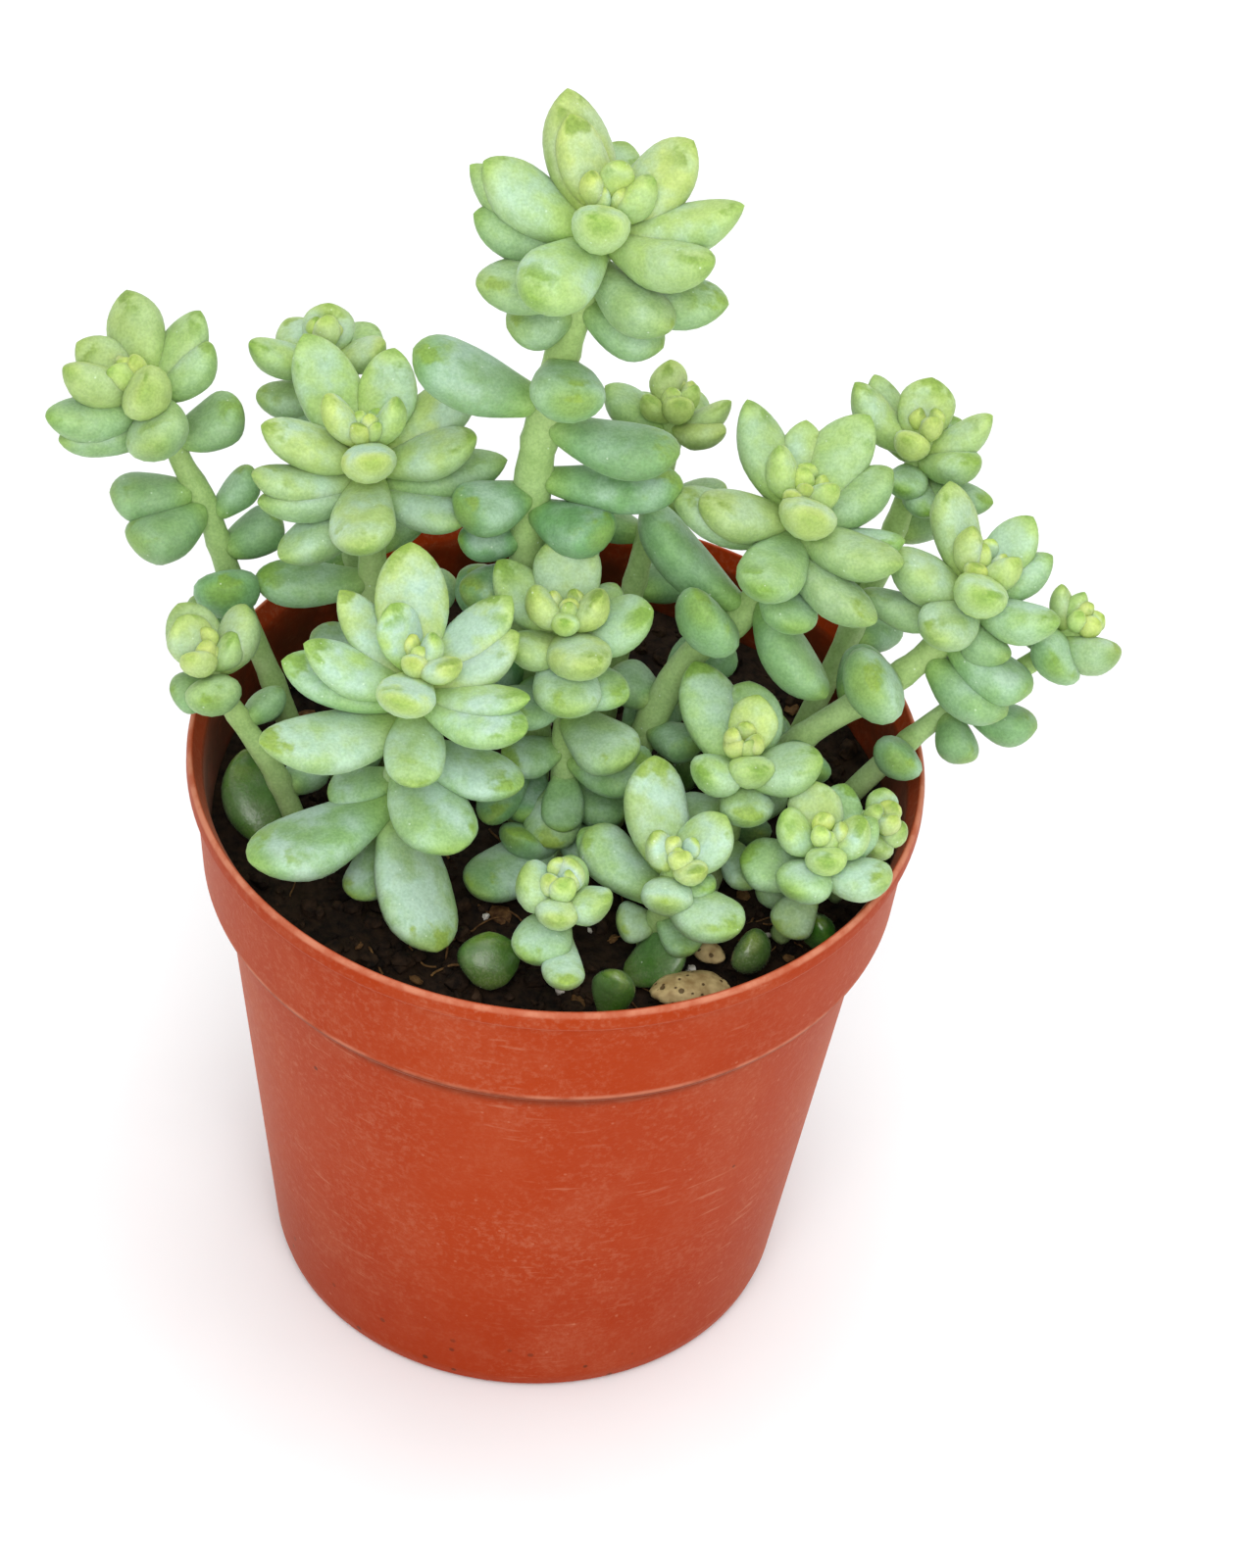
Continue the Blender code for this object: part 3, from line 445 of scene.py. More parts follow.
def buildLitterMaterial(name):
    plan = litter[name]
    material, tree, shader = newMaterial(name)
    spot = objectPlace(tree)
    shade = readMark(tree, "leafKind")[1]
    tooth = useGroup(tree, grain, {"Place": spot, "Scale": plan["scale"]})
    mixed = times(tree, tooth["Shade"], calc(tree, "MULTIPLY_ADD", shade, 0.7, 0.5))
    colour = blend(tree, mixed, plan["dark"], plan["light"])
    layer = useGroup(tree, dust, {
        "Place": spot, "Base": colour, "Dust": plan["light"], "Amount": plan["dust"], "Scale": 210})
    colour, height = layer["Colour"], tooth["Height"]
    if "pits" in plan:
        pits = calc(tree, "MAXIMUM", dotsAt(tree, spot, 1500, 0.3), dotsAt(tree, spot, 620, 0.24))
        pits = times(tree, pits, plan["pits"])
        colour = blend(tree, pits, colour, (0.07, 0.035, 0.012))
        height = calc(tree, "SUBTRACT", height, pits)
    rough = calc(tree, "SUBTRACT", plan["roughness"], times(tree, tooth["Shade"], 0.15))
    wire(tree, shader, colour, rough, height, plan["depth"], Specular_IOR_Level=0.15)
    return material


def buildFloorMaterial():
    material, tree, shader = newMaterial("paleFloor")
    spot = objectPlace(tree)
    tooth = useGroup(tree, grain, {"Place": spot, "Scale": 60})
    pale = studio["floorColour"]
    colour = blend(tree, tooth["Shade"], pale, [min(1, part * 1.02) for part in pale])
    wire(tree, shader, colour, 0.7, tooth["Height"], 0.00002)
    return material


materials["potPlastic"] = buildPlastic()
materials.update({name: buildLitterMaterial(name) for name in litter})
print("materials made:", len(materials))


# Mesh building

def newGrowth():
    return {"verts": [], "faces": [], "kinds": [], "places": [], "paint": [], "count": 0}


def addShape(growth, verts, faces, places, kind, paint=0):
    # one closed shape joins the piece, with its marks for the material
    start = growth["count"]
    growth["verts"].append(verts)
    growth["faces"] += [tuple(corner + start for corner in face) for face in faces]
    growth["places"].append(places)
    growth["kinds"].append(np.tile(kind, (len(verts), 1)))
    growth["paint"] += [paint] * len(faces)
    growth["count"] += len(verts)


def makeMesh(name, growth):
    mesh = bpy.data.meshes.new(name)
    mesh.from_pydata(np.concatenate(growth["verts"]).tolist(), [], growth["faces"])
    return mesh


def finishPiece(growth, name, node, finishes, smooth=True):
    mesh = makeMesh(name, growth)
    for mark, label in (("places", "leafPlace"), ("kinds", "leafKind")):
        layer = mesh.attributes.new(label, "FLOAT_VECTOR", "POINT")
        layer.data.foreach_set("vector", np.concatenate(growth[mark]).astype(np.float32).ravel())
    mesh.polygons.foreach_set("material_index", growth["paint"])
    mesh.polygons.foreach_set("use_smooth", [smooth] * len(mesh.polygons))
    for finish in finishes:
        mesh.materials.append(materials[finish])
    mesh.update()
    obj = addObject(name, mesh)
    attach(obj, "root")
    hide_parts(node)
    return obj


def loftFaces(rings, around, flip=False):
    # rings of points between two end points
    faces = [(0, 1 + (step + 1) % around, 1 + step) for step in range(around)]
    for ring in range(rings - 1):
        low, high = 1 + ring * around, 1 + (ring + 1) * around
        faces += [(low + step, low + (step + 1) % around, high + (step + 1) % around, high + step)
                  for step in range(around)]
    last, end = 1 + (rings - 1) * around, 1 + rings * around
    faces += [(last + step, last + (step + 1) % around, end) for step in range(around)]
    return [face[::-1] for face in faces] if flip else faces


def inMetres(points):
    return [Vector(point) * mm for point in points]


def smoothRoute(points, steps):
    padded = [points[0] * 2 - points[1], *points, points[-1] * 2 - points[-2]]
    route = []
    for before, start, end, after in zip(padded, padded[1:], padded[2:], padded[3:]):
        for t in (step / steps for step in range(steps)):
            route.append(0.5 * (
                2 * start + (end - before) * t + (2 * before - 5 * start + 4 * end - after) * t**2
                + (3 * start - before - 3 * end + after) * t**3))
    return route + [points[-1]]


def pointAlong(route, distance):
    left = distance
    for start, end in zip(route, route[1:]):
        span = (end - start).length
        if left <= span:
            return start.lerp(end, left / span), (start - end).normalized()
        left -= span
    return route[-1].copy(), (route[-2] - route[-1]).normalized()


def routeLength(route):
    return sum((end - start).length for start, end in zip(route, route[1:]))


leaf = {
    "around": 18, "rings": 17,
    "wider": 1.09, "thickness": 0.9, "broadThickness": 0.74, "budThickness": 0.98,
    "budWidth": 3.5, "broadWidth": 8.5,
    "neck": 0.36, "rise": 1.1, "belly": 0.59, "bluntness": 2.25, "heel": 0.12,
    "pointed": 0.75, "rounded": 0.55,  # how the tip closes on a young and on an old leaf
    "upperFlatness": 0.7, "shoulder": 0.82, "keel": 0.06,
    "sag": 0.055, "point": 0.004, "lumps": 0.035,
}
leafFaces = loftFaces(leaf["rings"], leaf["around"])


def addLeaf(growth, joint, offset, width, upward, age, habit, chance):
    length = offset.length
    along = offset / length
    face = upward - along * upward.dot(along)
    face = along.orthogonal() if face.length < 0.05 else face
    face.normalize()
    face.rotate(Matrix.Rotation(math.radians(chance.uniform(-9, 9)), 3, along))
    side = face.cross(along)
    broad = min(1, max(0, (width / mm - leaf["budWidth"]) / (leaf["broadWidth"] - leaf["budWidth"])))
    half = width / 2 * leaf["wider"] * chance.uniform(0.97, 1.04)
    pale, plump = habit
    plump *= leaf["thickness"] + (leaf["broadThickness"] - leaf["thickness"]) * broad
    thick = width / 2 * leaf["wider"] * (plump if broad else leaf["budThickness"])
    belly = leaf["belly"] + chance.uniform(-0.04, 0.05) + (0.08 if age > 0.5 else -0.02)
    rings, around = leaf["rings"], leaf["around"]
    s = (0.5 - 0.5 * np.cos(np.pi * np.arange(1, rings + 1) / (rings + 1)))[:, None]
    a = (2 * np.pi * np.arange(around) / around)[None, :]
    rise = leaf["neck"] + (1 - leaf["neck"]) * np.sin(np.pi / 2 * np.minimum(1, s / belly)) ** leaf["rise"]
    past = np.maximum(0, (s - belly) / (1 - belly))
    heel = np.sin(np.pi / 2 * np.minimum(1, s / leaf["heel"])) ** 0.5
    blunt = leaf["bluntness"] + chance.uniform(-0.15, 0.2)
    closing = leaf["pointed"] + (leaf["rounded"] - leaf["pointed"]) * min(1, age * 1.3)
    closing += chance.uniform(-0.04, 0.05)
    full = rise * np.maximum(0, 1 - past ** blunt) ** closing * heel
    turns = [chance.uniform(0, 6.28) for _ in range(4)]
    full = full * (1 + leaf["lumps"] * (np.sin(6 * s + turns[0]) * np.cos(a + turns[1])
                                        + 0.7 * np.sin(11 * s + turns[2]) * np.cos(2 * a + turns[3])))
    ca, sa = np.cos(a), np.sin(a)
    across = np.sign(ca) * np.abs(ca) ** 0.93 * half * full
    keel = 1 + leaf["keel"] * np.abs(sa) ** 6  # a faint ridge along the underside
    upper = leaf["upperFlatness"] * np.abs(sa) ** leaf["shoulder"]
    depth = np.where(sa > 0, upper, -np.abs(sa) ** 1.05 * keel)
    depth = depth * thick * full * (1 + 0.25 * (0.5 - s))
    arch = 4 * s * (1 - s)
    depth = depth - leaf["sag"] * chance.uniform(0.6, 1.5) * length * arch
    across = across + chance.uniform(-0.03, 0.03) * length * arch
    body = [np.ones_like(a) * s * length, across, depth]
    axes = [np.array(axis) for axis in (along, side, face)]
    verts = sum(part[..., None] * axis for part, axis in zip(body, axes)).reshape(-1, 3)
    tip = np.array(along) * length * (1 + leaf["point"])
    verts = np.array(joint) + np.concatenate([[(0, 0, 0)], verts, [tip]])
    grid = np.stack([s + 0 * a, ca + 0 * s, sa + 0 * s], -1).reshape(-1, 3)
    places = np.concatenate([[(0, 0, 0)], grid, [(1, 0, 0)]])
    kind = (age, chance.random(), pale + chance.uniform(-0.2, 0.2))
    addShape(growth, verts, leafFaces, places, kind)


def addTube(growth, route, radii, around, kind, chance, paint=0, flat=1.0):
    # a round or flattened tube along a route, with the frame carried along it
    rings = len(route)
    ahead = [(b - a).normalized() for a, b in zip([route[0]] + route[:-1], route[1:] + [route[-1]])
             if (b - a).length > 0]
    ahead = ahead[:1] * (rings - len(ahead)) + ahead
    side = ahead[0].orthogonal().normalized()
    verts, places = [np.array(route[0])], [(0, 0, 0)]
    phase = chance.uniform(0, 6.28)
    for index, (place, forward, radius) in enumerate(zip(route, ahead, radii)):
        side = (side - forward * side.dot(forward)).normalized()
        other = forward.cross(side)
        for step in range(around):
            angle = 2 * math.pi * step / around
            wobble = 1 + 0.05 * math.sin(2 * angle + phase + index * 0.21)
            point = place + (side * math.cos(angle) + other * math.sin(angle) * flat) * radius * wobble
            verts.append(np.array(point))
            places.append((index / rings, math.cos(angle), math.sin(angle)))
    verts.append(np.array(route[-1]))
    places.append((1, 0, 0))
    addShape(growth, np.array(verts), loftFaces(rings, around, True), np.array(places), kind, paint)


# The pot

pot = {
    "around": 176,
    # radius and height in mm, from the middle of the floor, up the inside and down the outside
    "outline": [
        (0, 1.4), (27.6, 1.4), (28.7, 2.4), (36.7, 57.9), (39.1, 59.6), (40.5, 72.4), (41.5, 74.3),
        (41.85, 75), (42.2, 75), (42.5, 74.5), (42.5, 72.6), (41.5, 71.7), (40.2, 59.3), (39.8, 58.55),
        (37.8, 58.2), (29.75, 2.2), (29.2, 0.5), (28, 0), (26.4, 0), (26.1, 0.35), (0, 0.35),
    ],
    "corner": 0.35,
    "wobble": 0.07,
    "holes": 6, "holeRadius": 3.0, "holeCircle": 18.0, "holeSides": 32,
    "punch": (-3, 5),  # the heights between which the holes are cut
}


def roundCorners(outline, size):
    # each corner becomes a short curve
    points = [outline[0]]
    for before, corner, after in zip(outline, outline[1:], outline[2:]):
        before, corner, after = Vector(before), Vector(corner), Vector(after)
        reach = min(size, (corner - before).length * 0.45, (after - corner).length * 0.45)
        start = corner + (before - corner).normalized() * reach
        end = corner + (after - corner).normalized() * reach
        for t in (0, 0.33, 0.67, 1):
            points.append(tuple((1 - t)**2 * start + 2 * t * (1 - t) * corner + t**2 * end))
    return points + [outline[-1]]


def turnedRings(profile, around, wobble=0):
    verts = [(0, 0, profile[0][1])]
    for radius, height in profile[1:-1]:
        for step in range(around):
            angle = 2 * math.pi * step / around
            out = radius + wobble * math.sin(2 * angle + 0.6 + height * 0.01)
            verts.append((out * math.cos(angle), out * math.sin(angle), height))
    verts.append((0, 0, profile[-1][1]))
    return np.array(verts) * mm


def cutHoles(obj):
    growth = newGrowth()
    for hole in range(pot["holes"]):
        turn = 2 * math.pi * hole / pot["holes"]
        middle = np.array([pot["holeCircle"] * math.cos(turn), pot["holeCircle"] * math.sin(turn), 0]) * mm
        low, high = pot["punch"]
        profile = [(0, low), (pot["holeRadius"], low), (pot["holeRadius"], high), (0, high)]
        rings = turnedRings(profile, pot["holeSides"])
        addShape(growth, rings + middle, loftFaces(2, pot["holeSides"], True), rings, (0, 0, 0))
    punch = addObject("holePunch", makeMesh("holePunch", growth))
    cut = obj.modifiers.new("drainHoles", "BOOLEAN")
    cut.object, cut.solver = punch, "EXACT"
    graph = bpy.context.evaluated_depsgraph_get()
    graph.update()
    whole = bpy.data.meshes.new_from_object(obj.evaluated_get(graph))
    obj.modifiers.clear()
    obj.data = whole
    bpy.data.objects.remove(punch, do_unlink=True)


def buildPot():
    profile = roundCorners(pot["outline"], pot["corner"])
    verts = turnedRings(profile, pot["around"], pot["wobble"])
    growth = newGrowth()
    addShape(growth, verts, loftFaces(len(profile) - 2, pot["around"], True), verts, (0, 0, 0))
    cutHoles(finishPiece(growth, "nursery_pot", "pot", ["potPlastic"]))


buildPot()
print("pot made")


# The soil

soil = {
    "top": 65.0, "edge": 39.35, "rings": 62, "around": 168,
    "rough": 0.75, "sink": 0.5,
    "lumpRings": (5, 8),
    # how many lumps and their sizes, how far they stand out (times the size, and more), how flat and pale
    "crumbs": {"count": 1500, "size": (0.25, 1.5), "small": 3, "lift": (0.25, 0), "flat": 0.75, "pale": 1},
    "grains": {"count": 34, "size": (0.25, 0.75), "small": 1, "lift": (0.7, 0), "flat": 0.85, "pale": 1},
    "chips": {"count": 60, "size": (0.5, 1.5), "small": 1, "lift": (0, 0.35), "flat": 0.35, "pale": 0.5},
    "fibres": 90, "fibreRadius": (0.07, 0.16), "fibreStep": 0.75, "fibreSteps": 7,
    "cluster": (14.3, 11, 1.3, 7),  # perlite lying together: place, reach and how many
    "side": [(38.4, 60.4), (36.2, 57.6), (28.1, 2.6), (27.4, 1.75), (0, 1.75)],
}


def soilHeight(x, y):
    spot = Vector((x, y, 0))
    lift = noise.noise(spot / 9) + 0.6 * noise.noise(spot / 3.2) + 0.35 * noise.noise(spot / 1.3)
    return soil["top"] - soil["sink"] * math.hypot(x, y) / soil["edge"] + soil["rough"] * lift


def ball(rings, around):
    # a ball of radius one, as rings between its two ends
    angles = [math.pi * step / (rings + 1) for step in range(rings + 2)]
    return turnedRings([(math.sin(angle), math.cos(angle)) for angle in angles], around) / mm


def addLump(growth, middle, size, chance, flat, kind):
    # a crumb or chip: a round lump pushed in and out
    rings, around = soil["lumpRings"]
    verts = ball(rings, around)
    shift = Vector([chance.uniform(0, 90) for _ in range(3)])
    push = np.array([1 + 0.55 * noise.noise(Vector(vert) * 1.1 + shift) for vert in verts])
    verts = verts * push[:, None] * np.array([1, chance.uniform(0.6, 1), flat]) * size * mm
    turn, lean = chance.uniform(0, 6.28), chance.uniform(-0.5, 0.5)
    turned = Matrix.Rotation(turn, 3, "Z") @ Matrix.Rotation(lean, 3, "X")
    verts = verts @ np.array(turned).T + np.array(middle) * mm
    addShape(growth, verts, loftFaces(rings, around, True), verts, kind)


def scatter(chance, reach):
    turn, out = chance.uniform(0, 2 * math.pi), reach * math.sqrt(chance.random())
    return out * math.cos(turn), out * math.sin(turn)


def strew(growth, spots, chance, plan):
    low, high = plan["size"]
    for x, y in spots:
        size = low + (high - low) * chance.random() ** plan["small"]
        height = soilHeight(x, y) + size * plan["lift"][0] + plan["lift"][1]
        addLump(growth, (x, y, height), size, chance, plan["flat"], (0, chance.uniform(0, plan["pale"]), 0))


def buildSoil():
    chance = random.Random(4)
    growth = newGrowth()
    ringsOut = [soil["edge"] * (step / soil["rings"]) ** 0.9 for step in range(1, soil["rings"] + 1)]
    profile = [(0, soil["top"])] + [(out, soil["top"]) for out in ringsOut] + soil["side"]
    verts = turnedRings(profile, soil["around"]) / mm
    bedEnd = 1 + soil["rings"] * soil["around"]
    for index in range(bedEnd):
        verts[index][2] = soilHeight(verts[index][0], verts[index][1])
    addShape(growth, verts * mm, loftFaces(len(profile) - 2, soil["around"]), verts, (0, 0.3, 0))
    spots = (scatter(chance, soil["edge"] - 1.6) for _ in range(soil["crumbs"]["count"]))
    strew(growth, spots, chance, soil["crumbs"])
    finishPiece(growth, "potting_mix", "soil", ["pottingSoil"], smooth=False)
    grains, chips = newGrowth(), newGrowth()
    x, y, reach, count = soil["cluster"]
    spots = [(x + chance.uniform(-reach, reach), y + chance.uniform(-reach, reach)) for _ in range(count)]
    spots += [scatter(chance, soil["edge"] - 2) for _ in range(soil["grains"]["count"])]
    strew(grains, spots, chance, soil["grains"])
    finishPiece(grains, "perlite_grains", "soil", ["perliteGrain"], smooth=False)
    spots = (scatter(chance, soil["edge"] - 2) for _ in range(soil["chips"]["count"]))
    strew(chips, spots, chance, soil["chips"])
    finishPiece(chips, "bark_chips", "soil", ["rootFibre"], smooth=False)
    fibres = newGrowth()
    for _ in range(soil["fibres"]):
        x, y = scatter(chance, soil["edge"] - 5)
        heading, route = chance.uniform(0, 6.28), []
        for step in range(soil["fibreSteps"]):
            heading += chance.uniform(-0.5, 0.5)
            x, y = x + math.cos(heading) * soil["fibreStep"], y + math.sin(heading) * soil["fibreStep"]
            if math.hypot(x, y) > soil["edge"] - 1:
                break
            route.append(Vector((x, y, soilHeight(x, y) + 0.45 + 0.3 * math.sin(step))) * mm)
        if len(route) > 3:
            thin = chance.uniform(*soil["fibreRadius"]) * mm
            route = smoothRoute(route, 3)
            addTube(fibres, route, [thin] * len(route), 6, (0, chance.random(), 0), chance)
    finishPiece(fibres, "root_fibres", "soil", ["rootFibre"])


buildSoil()
print("soil made")


# The shoots

# Each shoot in millimetres. "stem" runs from the growing tip down to the soil.
# A leaf is (how far down the stem from the growing tip it grows, its tip's place from
# there to the right, to the back and up, its width). Those within "crown" of the
# growing tip are the rosette, and the others are the stem's own.
shoots = {
    "tallest": {"radius": 1.9, "crown": 11, "stem": [
        (1.5, 14, 146), (-1.5, 12.5, 131), (-4, 11, 118), (-5, 9.5, 106), (-4.5, 6, 90), (-3, 1, 76),
        (-3, -1, 65.5),
    ], "leaves": [
        (2, -0.3, -7.5, 5.5, 6.2), (1, -2.4, -0.1, 5.5, 3.2), (1, 1.3, 1.1, 6.5, 3.6), (2, 5, 0.5, 6, 4.4),
        (3, -5.1, 10.8, 10.5, 8), (2, -4.8, 6.4, 9.5, 5.5), (3, 9.3, 6.3, 8, 6.8), (4, 15.6, 0, 5.5, 6.6),
        (4, 12.6, -7.5, 3, 7), (8, 9.2, -9.4, -1, 6.8), (10, 15.9, -3.1, 0, 6.5), (5, -7.2, -12.5, 1.5, 8),
        (4, -13.6, 3.3, 6.4, 7.4), (5.5, -14.8, 4.4, 6.4, 6), (7, -13.7, 0.4, 4.3, 6),
        (9, -12.4, -5.9, 1.5, 7), (6, 2.5, 14, 4, 7), (14, -7.8, -2.5, -2, 6.5), (13, 9.6, -3.6, -3.4, 6.6),
        (16, 6, 9, 0, 6), (22, 2, -9.4, 2, 7.6), (28, -15.5, 2.2, 4.9, 8.2), (30, 15.5, -4.4, 0, 7.2),
        (38, 17, -1, 1, 6), (34, 3, 13, 2, 6.5), (42, 9, -6, 2, 7), (40, -8, -5.5, 1, 7),
        (46, -8, -1.5, 0, 4.5), (50, -7, -6, 0, 6), (52, 7, 6, 3, 6.5), (56, -8, 4, 2, 6.5),
        (60, 9, 1, 1, 6.5), (61, -6.5, -3.5, -2.5, 6.5), (64, -7, -5, 1, 5.5), (66, 6, 8, 1, 6),
        (72, -4.5, -13, -1, 4.5), (74, 0, -10, -0.5, 4.8),
    ]},
    "far_left": {"radius": 1.3, "crown": 8, "stem": [
        (-52, 18, 112), (-48, 18.5, 108), (-45.5, 18, 100.5), (-42, 16, 94.5), (-38, 13, 84), (-33, 10, 73),
        (-30, 8, 65.5),
    ], "leaves": [
        (2, 1, -6.5, 5, 6.2), (3, -3, 8, 8, 7), (3.5, 5.2, 6.8, 7, 5.5), (4, 6.6, 2.6, 6, 6),
        (2.5, -8.8, -3.2, 5, 5.8), (3.5, -8.5, 2, 5, 5.5), (1, 0, -0.9, 4.5, 2.8), (1.5, -3, -3, 4.5, 3.2),
        (5, -12.2, -6, 1.5, 6), (7, -11.6, -5.6, -0.5, 5.5), (5, 0.3, -9.4, 1, 6.8), (6, -4, 9, 2, 6),
        (11, 7.5, 1.8, 4.5, 6.5), (18, -10, -1, -0.5, 6.8), (20, -8, -6.2, -1, 7.8), (21.5, 4.5, 3.4, 5, 4.5),
        (26, 6.5, 3, 3.5, 6), (30, -0.5, -8, 5.5, 7), (33, -5, -4, 2.5, 5), (45, -2, -4.5, 1, 4),
    ]},
    "back_left": {"radius": 1.3, "crown": 8, "stem": [
        (-30, 28, 111.5), (-28.5, 26.5, 99), (-25, 22, 84), (-21, 18, 65.5),
    ], "leaves": [
        (1, 0, -0.5, 5, 3), (3, 0, 2.5, 6.5, 6), (3, -8.8, -2.8, 4, 5), (3, 6.7, -1.6, 4.5, 4.5),
        (7, -8, -3.8, 1, 5), (4, -5, 7, 1, 6), (4, 5, 7, 1, 6), (6, 0.5, 9, -1, 6), (16, -6, 7, 1, 6),
        (22, 8, 5, 0, 6.5), (30, -7, 5, -2, 6.5),
    ]},
    "mid_left": {"radius": 1.5, "crown": 10, "stem": [
        (-24, 13, 111), (-23, 11.5, 98), (-22, 9, 86), (-20.5, 7, 76), (-19, 5, 65.5),
    ], "leaves": [
        (2, 0.7, -8.3, 5, 5.6), (1, -1.2, -2.5, 4, 2.6), (1, 0, -1.4, 5, 2), (1, 1, -2.3, 4.5, 2),
        (2, -5.2, 0.2, 7, 4.3), (2, 3, 0, 7.5, 4), (3, 2, 9.3, 8, 6.5), (4, -8.5, 10.7, 9, 7.5),
        (4, 11.5, 7.8, 7, 6.8), (4.5, 12, -0.9, 6, 6.5), (4, -12.4, -1.1, 5, 6.2), (6, -13.2, -4.9, 3, 5.8),
        (7.5, -12.4, -6.6, 2, 5.5), (7, 15.4, 2.1, 3, 7), (5, 0, -15, 1, 7.2), (7, 11.3, -5.7, 0, 5.5),
        (9, -9.6, -9.5, -2, 6.5), (20, -13.5, -0.4, -1, 6.5), (16, 4, 10, 0, 6.5), (24, 9, 4, 2, 6.5),
        (28, 7, -4, -2, 5.5), (31, -8, 3, 1, 6), (36, 2, 9, 1, 6), (39, -6.7, -7.9, -1.5, 6),
        (40, 6.3, -5.7, -2, 6),
    ]},
    "back": {"radius": 1.3, "crown": 8, "stem": [
        (11, 30, 104), (9.5, 27, 93), (7, 21, 79), (5, 16, 65.5),
    ], "leaves": [
        (2, -1, 3.3, 6, 5), (2, -3.7, -1.4, 4, 3), (4, -8, 2.9, 4, 6), (1, 0.5, -3, 4, 3.5),
        (1, 2, -0.5, 4.5, 2.5), (3, 6.5, 0.4, 4, 4), (3, 6, -3.5, 2.5, 4.5), (5, 3, 8, 1, 5.5),
        (5, -4, 7, 1, 5.5), (13, 8, 4, 0, 6), (17, -7, 6, -1, 6), (24, 7, 7, -2, 6.5),
    ]},
    "mid_right": {"radius": 1.6, "crown": 8.5, "stem": [
        (26, 10, 110), (23, 7, 99), (19, 5, 93), (14, 3.5, 88), (9, 1, 76), (6.5, 0, 65.5),
    ], "leaves": [
        (2, 1.2, -8.3, 5, 6.2), (1, -1.5, -4.2, 3.5, 2.6), (1, 0.4, -3.4, 4.5, 2), (1.5, 3.5, -3.1, 5, 3.4),
        (2, -3, 1.5, 7, 4.7), (3.5, 7.5, 9.4, 7.4, 7), (3.5, -6.5, 9.9, 8, 6.5), (4, 0.5, 9.5, 6.5, 5.5),
        (4, -11, -4.2, 4.5, 6.8), (6, -13.7, 0.1, 4.5, 7), (4.5, 12.4, -8.3, 2, 6.8), (6, 13, -2.3, 2, 5.5),
        (5.5, 11, 4.6, 6, 7), (5, -3.5, -14.5, 2.5, 7.2), (7, 10.3, -11.9, -1, 6.5), (9.5, 2.5, -10.7, -1, 6),
        (14, 8, -8.6, -8, 8), (12, 6, 10, 0, 7), (17, -12.5, 8.6, 8, 8.5), (20, -3.5, -7, 9, 8),
        (30, 6, 7, 1, 6.5), (33, -5.5, 3.5, 2, 6), (36, 6, -4, 1, 5.5), (40, 3, 9, 2, 6),
        (43, 6.2, -2.3, -1, 6),
    ]},
    "back_right": {"radius": 1.3, "crown": 8, "stem": [
        (39.5, 25, 107), (37.5, 22.5, 96), (33, 17.5, 82), (27, 13, 65.5),
    ], "leaves": [
        (3, 0.8, 5.1, 7, 6.3), (3, -8, 4.4, 6, 5.5), (4.5, -5.5, 8, 6, 5), (2, -1.8, -4.2, 4.5, 4),
        (1, 1.2, -1.6, 4.5, 2.4), (3, 8, 1.5, 5, 4.5), (4, 7, -3.5, 3, 5.2), (7, 9.5, -2.8, 0, 4.5),
        (5, -1.5, -5.5, 1, 4.5), (6, 2, -6, -1, 4), (6, 5, 8, 2, 6), (14, 6, 7, 0, 6.5), (20, -6, 7, 0, 6.5),
        (28, 5, 6, -2, 6),
    ]},
    "right": {"radius": 1.5, "crown": 8, "stem": [
        (47, 8, 102), (44, 5.5, 94), (37, 3, 87), (29, 1, 81), (22, 0, 73), (18, 0, 65.5),
    ], "leaves": [
        (2, 0.5, -7.8, 4.5, 6), (1, -1, -3.1, 3.5, 2.8), (2, -1.2, 1.8, 6.5, 4.3), (2, 4.3, -1.5, 5, 4),
        (3, 6, 5.5, 6.5, 5.5), (3, -3.7, 8.9, 8, 6), (4.5, 9, 3.9, 4, 5), (4, -9.5, 0.5, 5, 7),
        (4.5, 10, -5.9, 2.5, 6), (4.5, -4, -9, 1.5, 6.3), (7, -11.5, 1, 2, 5), (7, 5.5, -5.4, -1, 5.5),
        (9.5, 9.8, -4.5, -4, 7.5), (13, 9.5, -4.5, -4.5, 7.5), (11, 2, 9, 1, 6), (18, -3.5, -7, 5.5, 8.5),
        (24, 3, 8, 1, 6.5), (32, 3, -6, 1, 5.5), (38, 2, 8, 2, 6), (43, 3.5, -7, 1, 5),
    ]},
    "far_right": {"radius": 1.2, "crown": 4, "stem": [
        (59, 8, 94), (54, 7, 89), (47, 5.5, 84), (42, 4, 80), (37, 3, 74), (31, 2, 65.5),
    ], "leaves": [
        (2, -1.5, 3, 5, 3), (2, 1.2, 2.5, 4.5, 3), (3, 6.2, -3.5, 1.5, 6), (3, -1, -5.9, 1, 6.5),
        (3, -5, 0, 2, 4.5), (3, 2.5, 5, 1.5, 4.5), (1, 0.3, -1, 3.5, 2.4), (17, 8.7, -2, -1.5, 6.5),
        (19, 3, -5, -3, 6), (26, -0.5, -6, 3, 5.8),
    ]},
    "left_rim": {"radius": 1.2, "crown": 6, "stem": [
        (-40.5, -4, 90.5), (-38, -4.5, 84.5), (-34.5, -5.5, 79), (-31.5, -6.5, 74), (-28, -8, 65.5),
    ], "leaves": [
        (2, -4.3, 2, 5.5, 5.5), (3.5, -5, 5.5, 6, 6), (3, 3, 4.5, 7, 6), (2, 2.6, 0.5, 5, 4.4),
        (1.5, -2.6, -3, 3.8, 3.8), (5, -5.8, -1.5, 0.5, 5.5), (3.5, -0.5, -6, 1.5, 6.2),
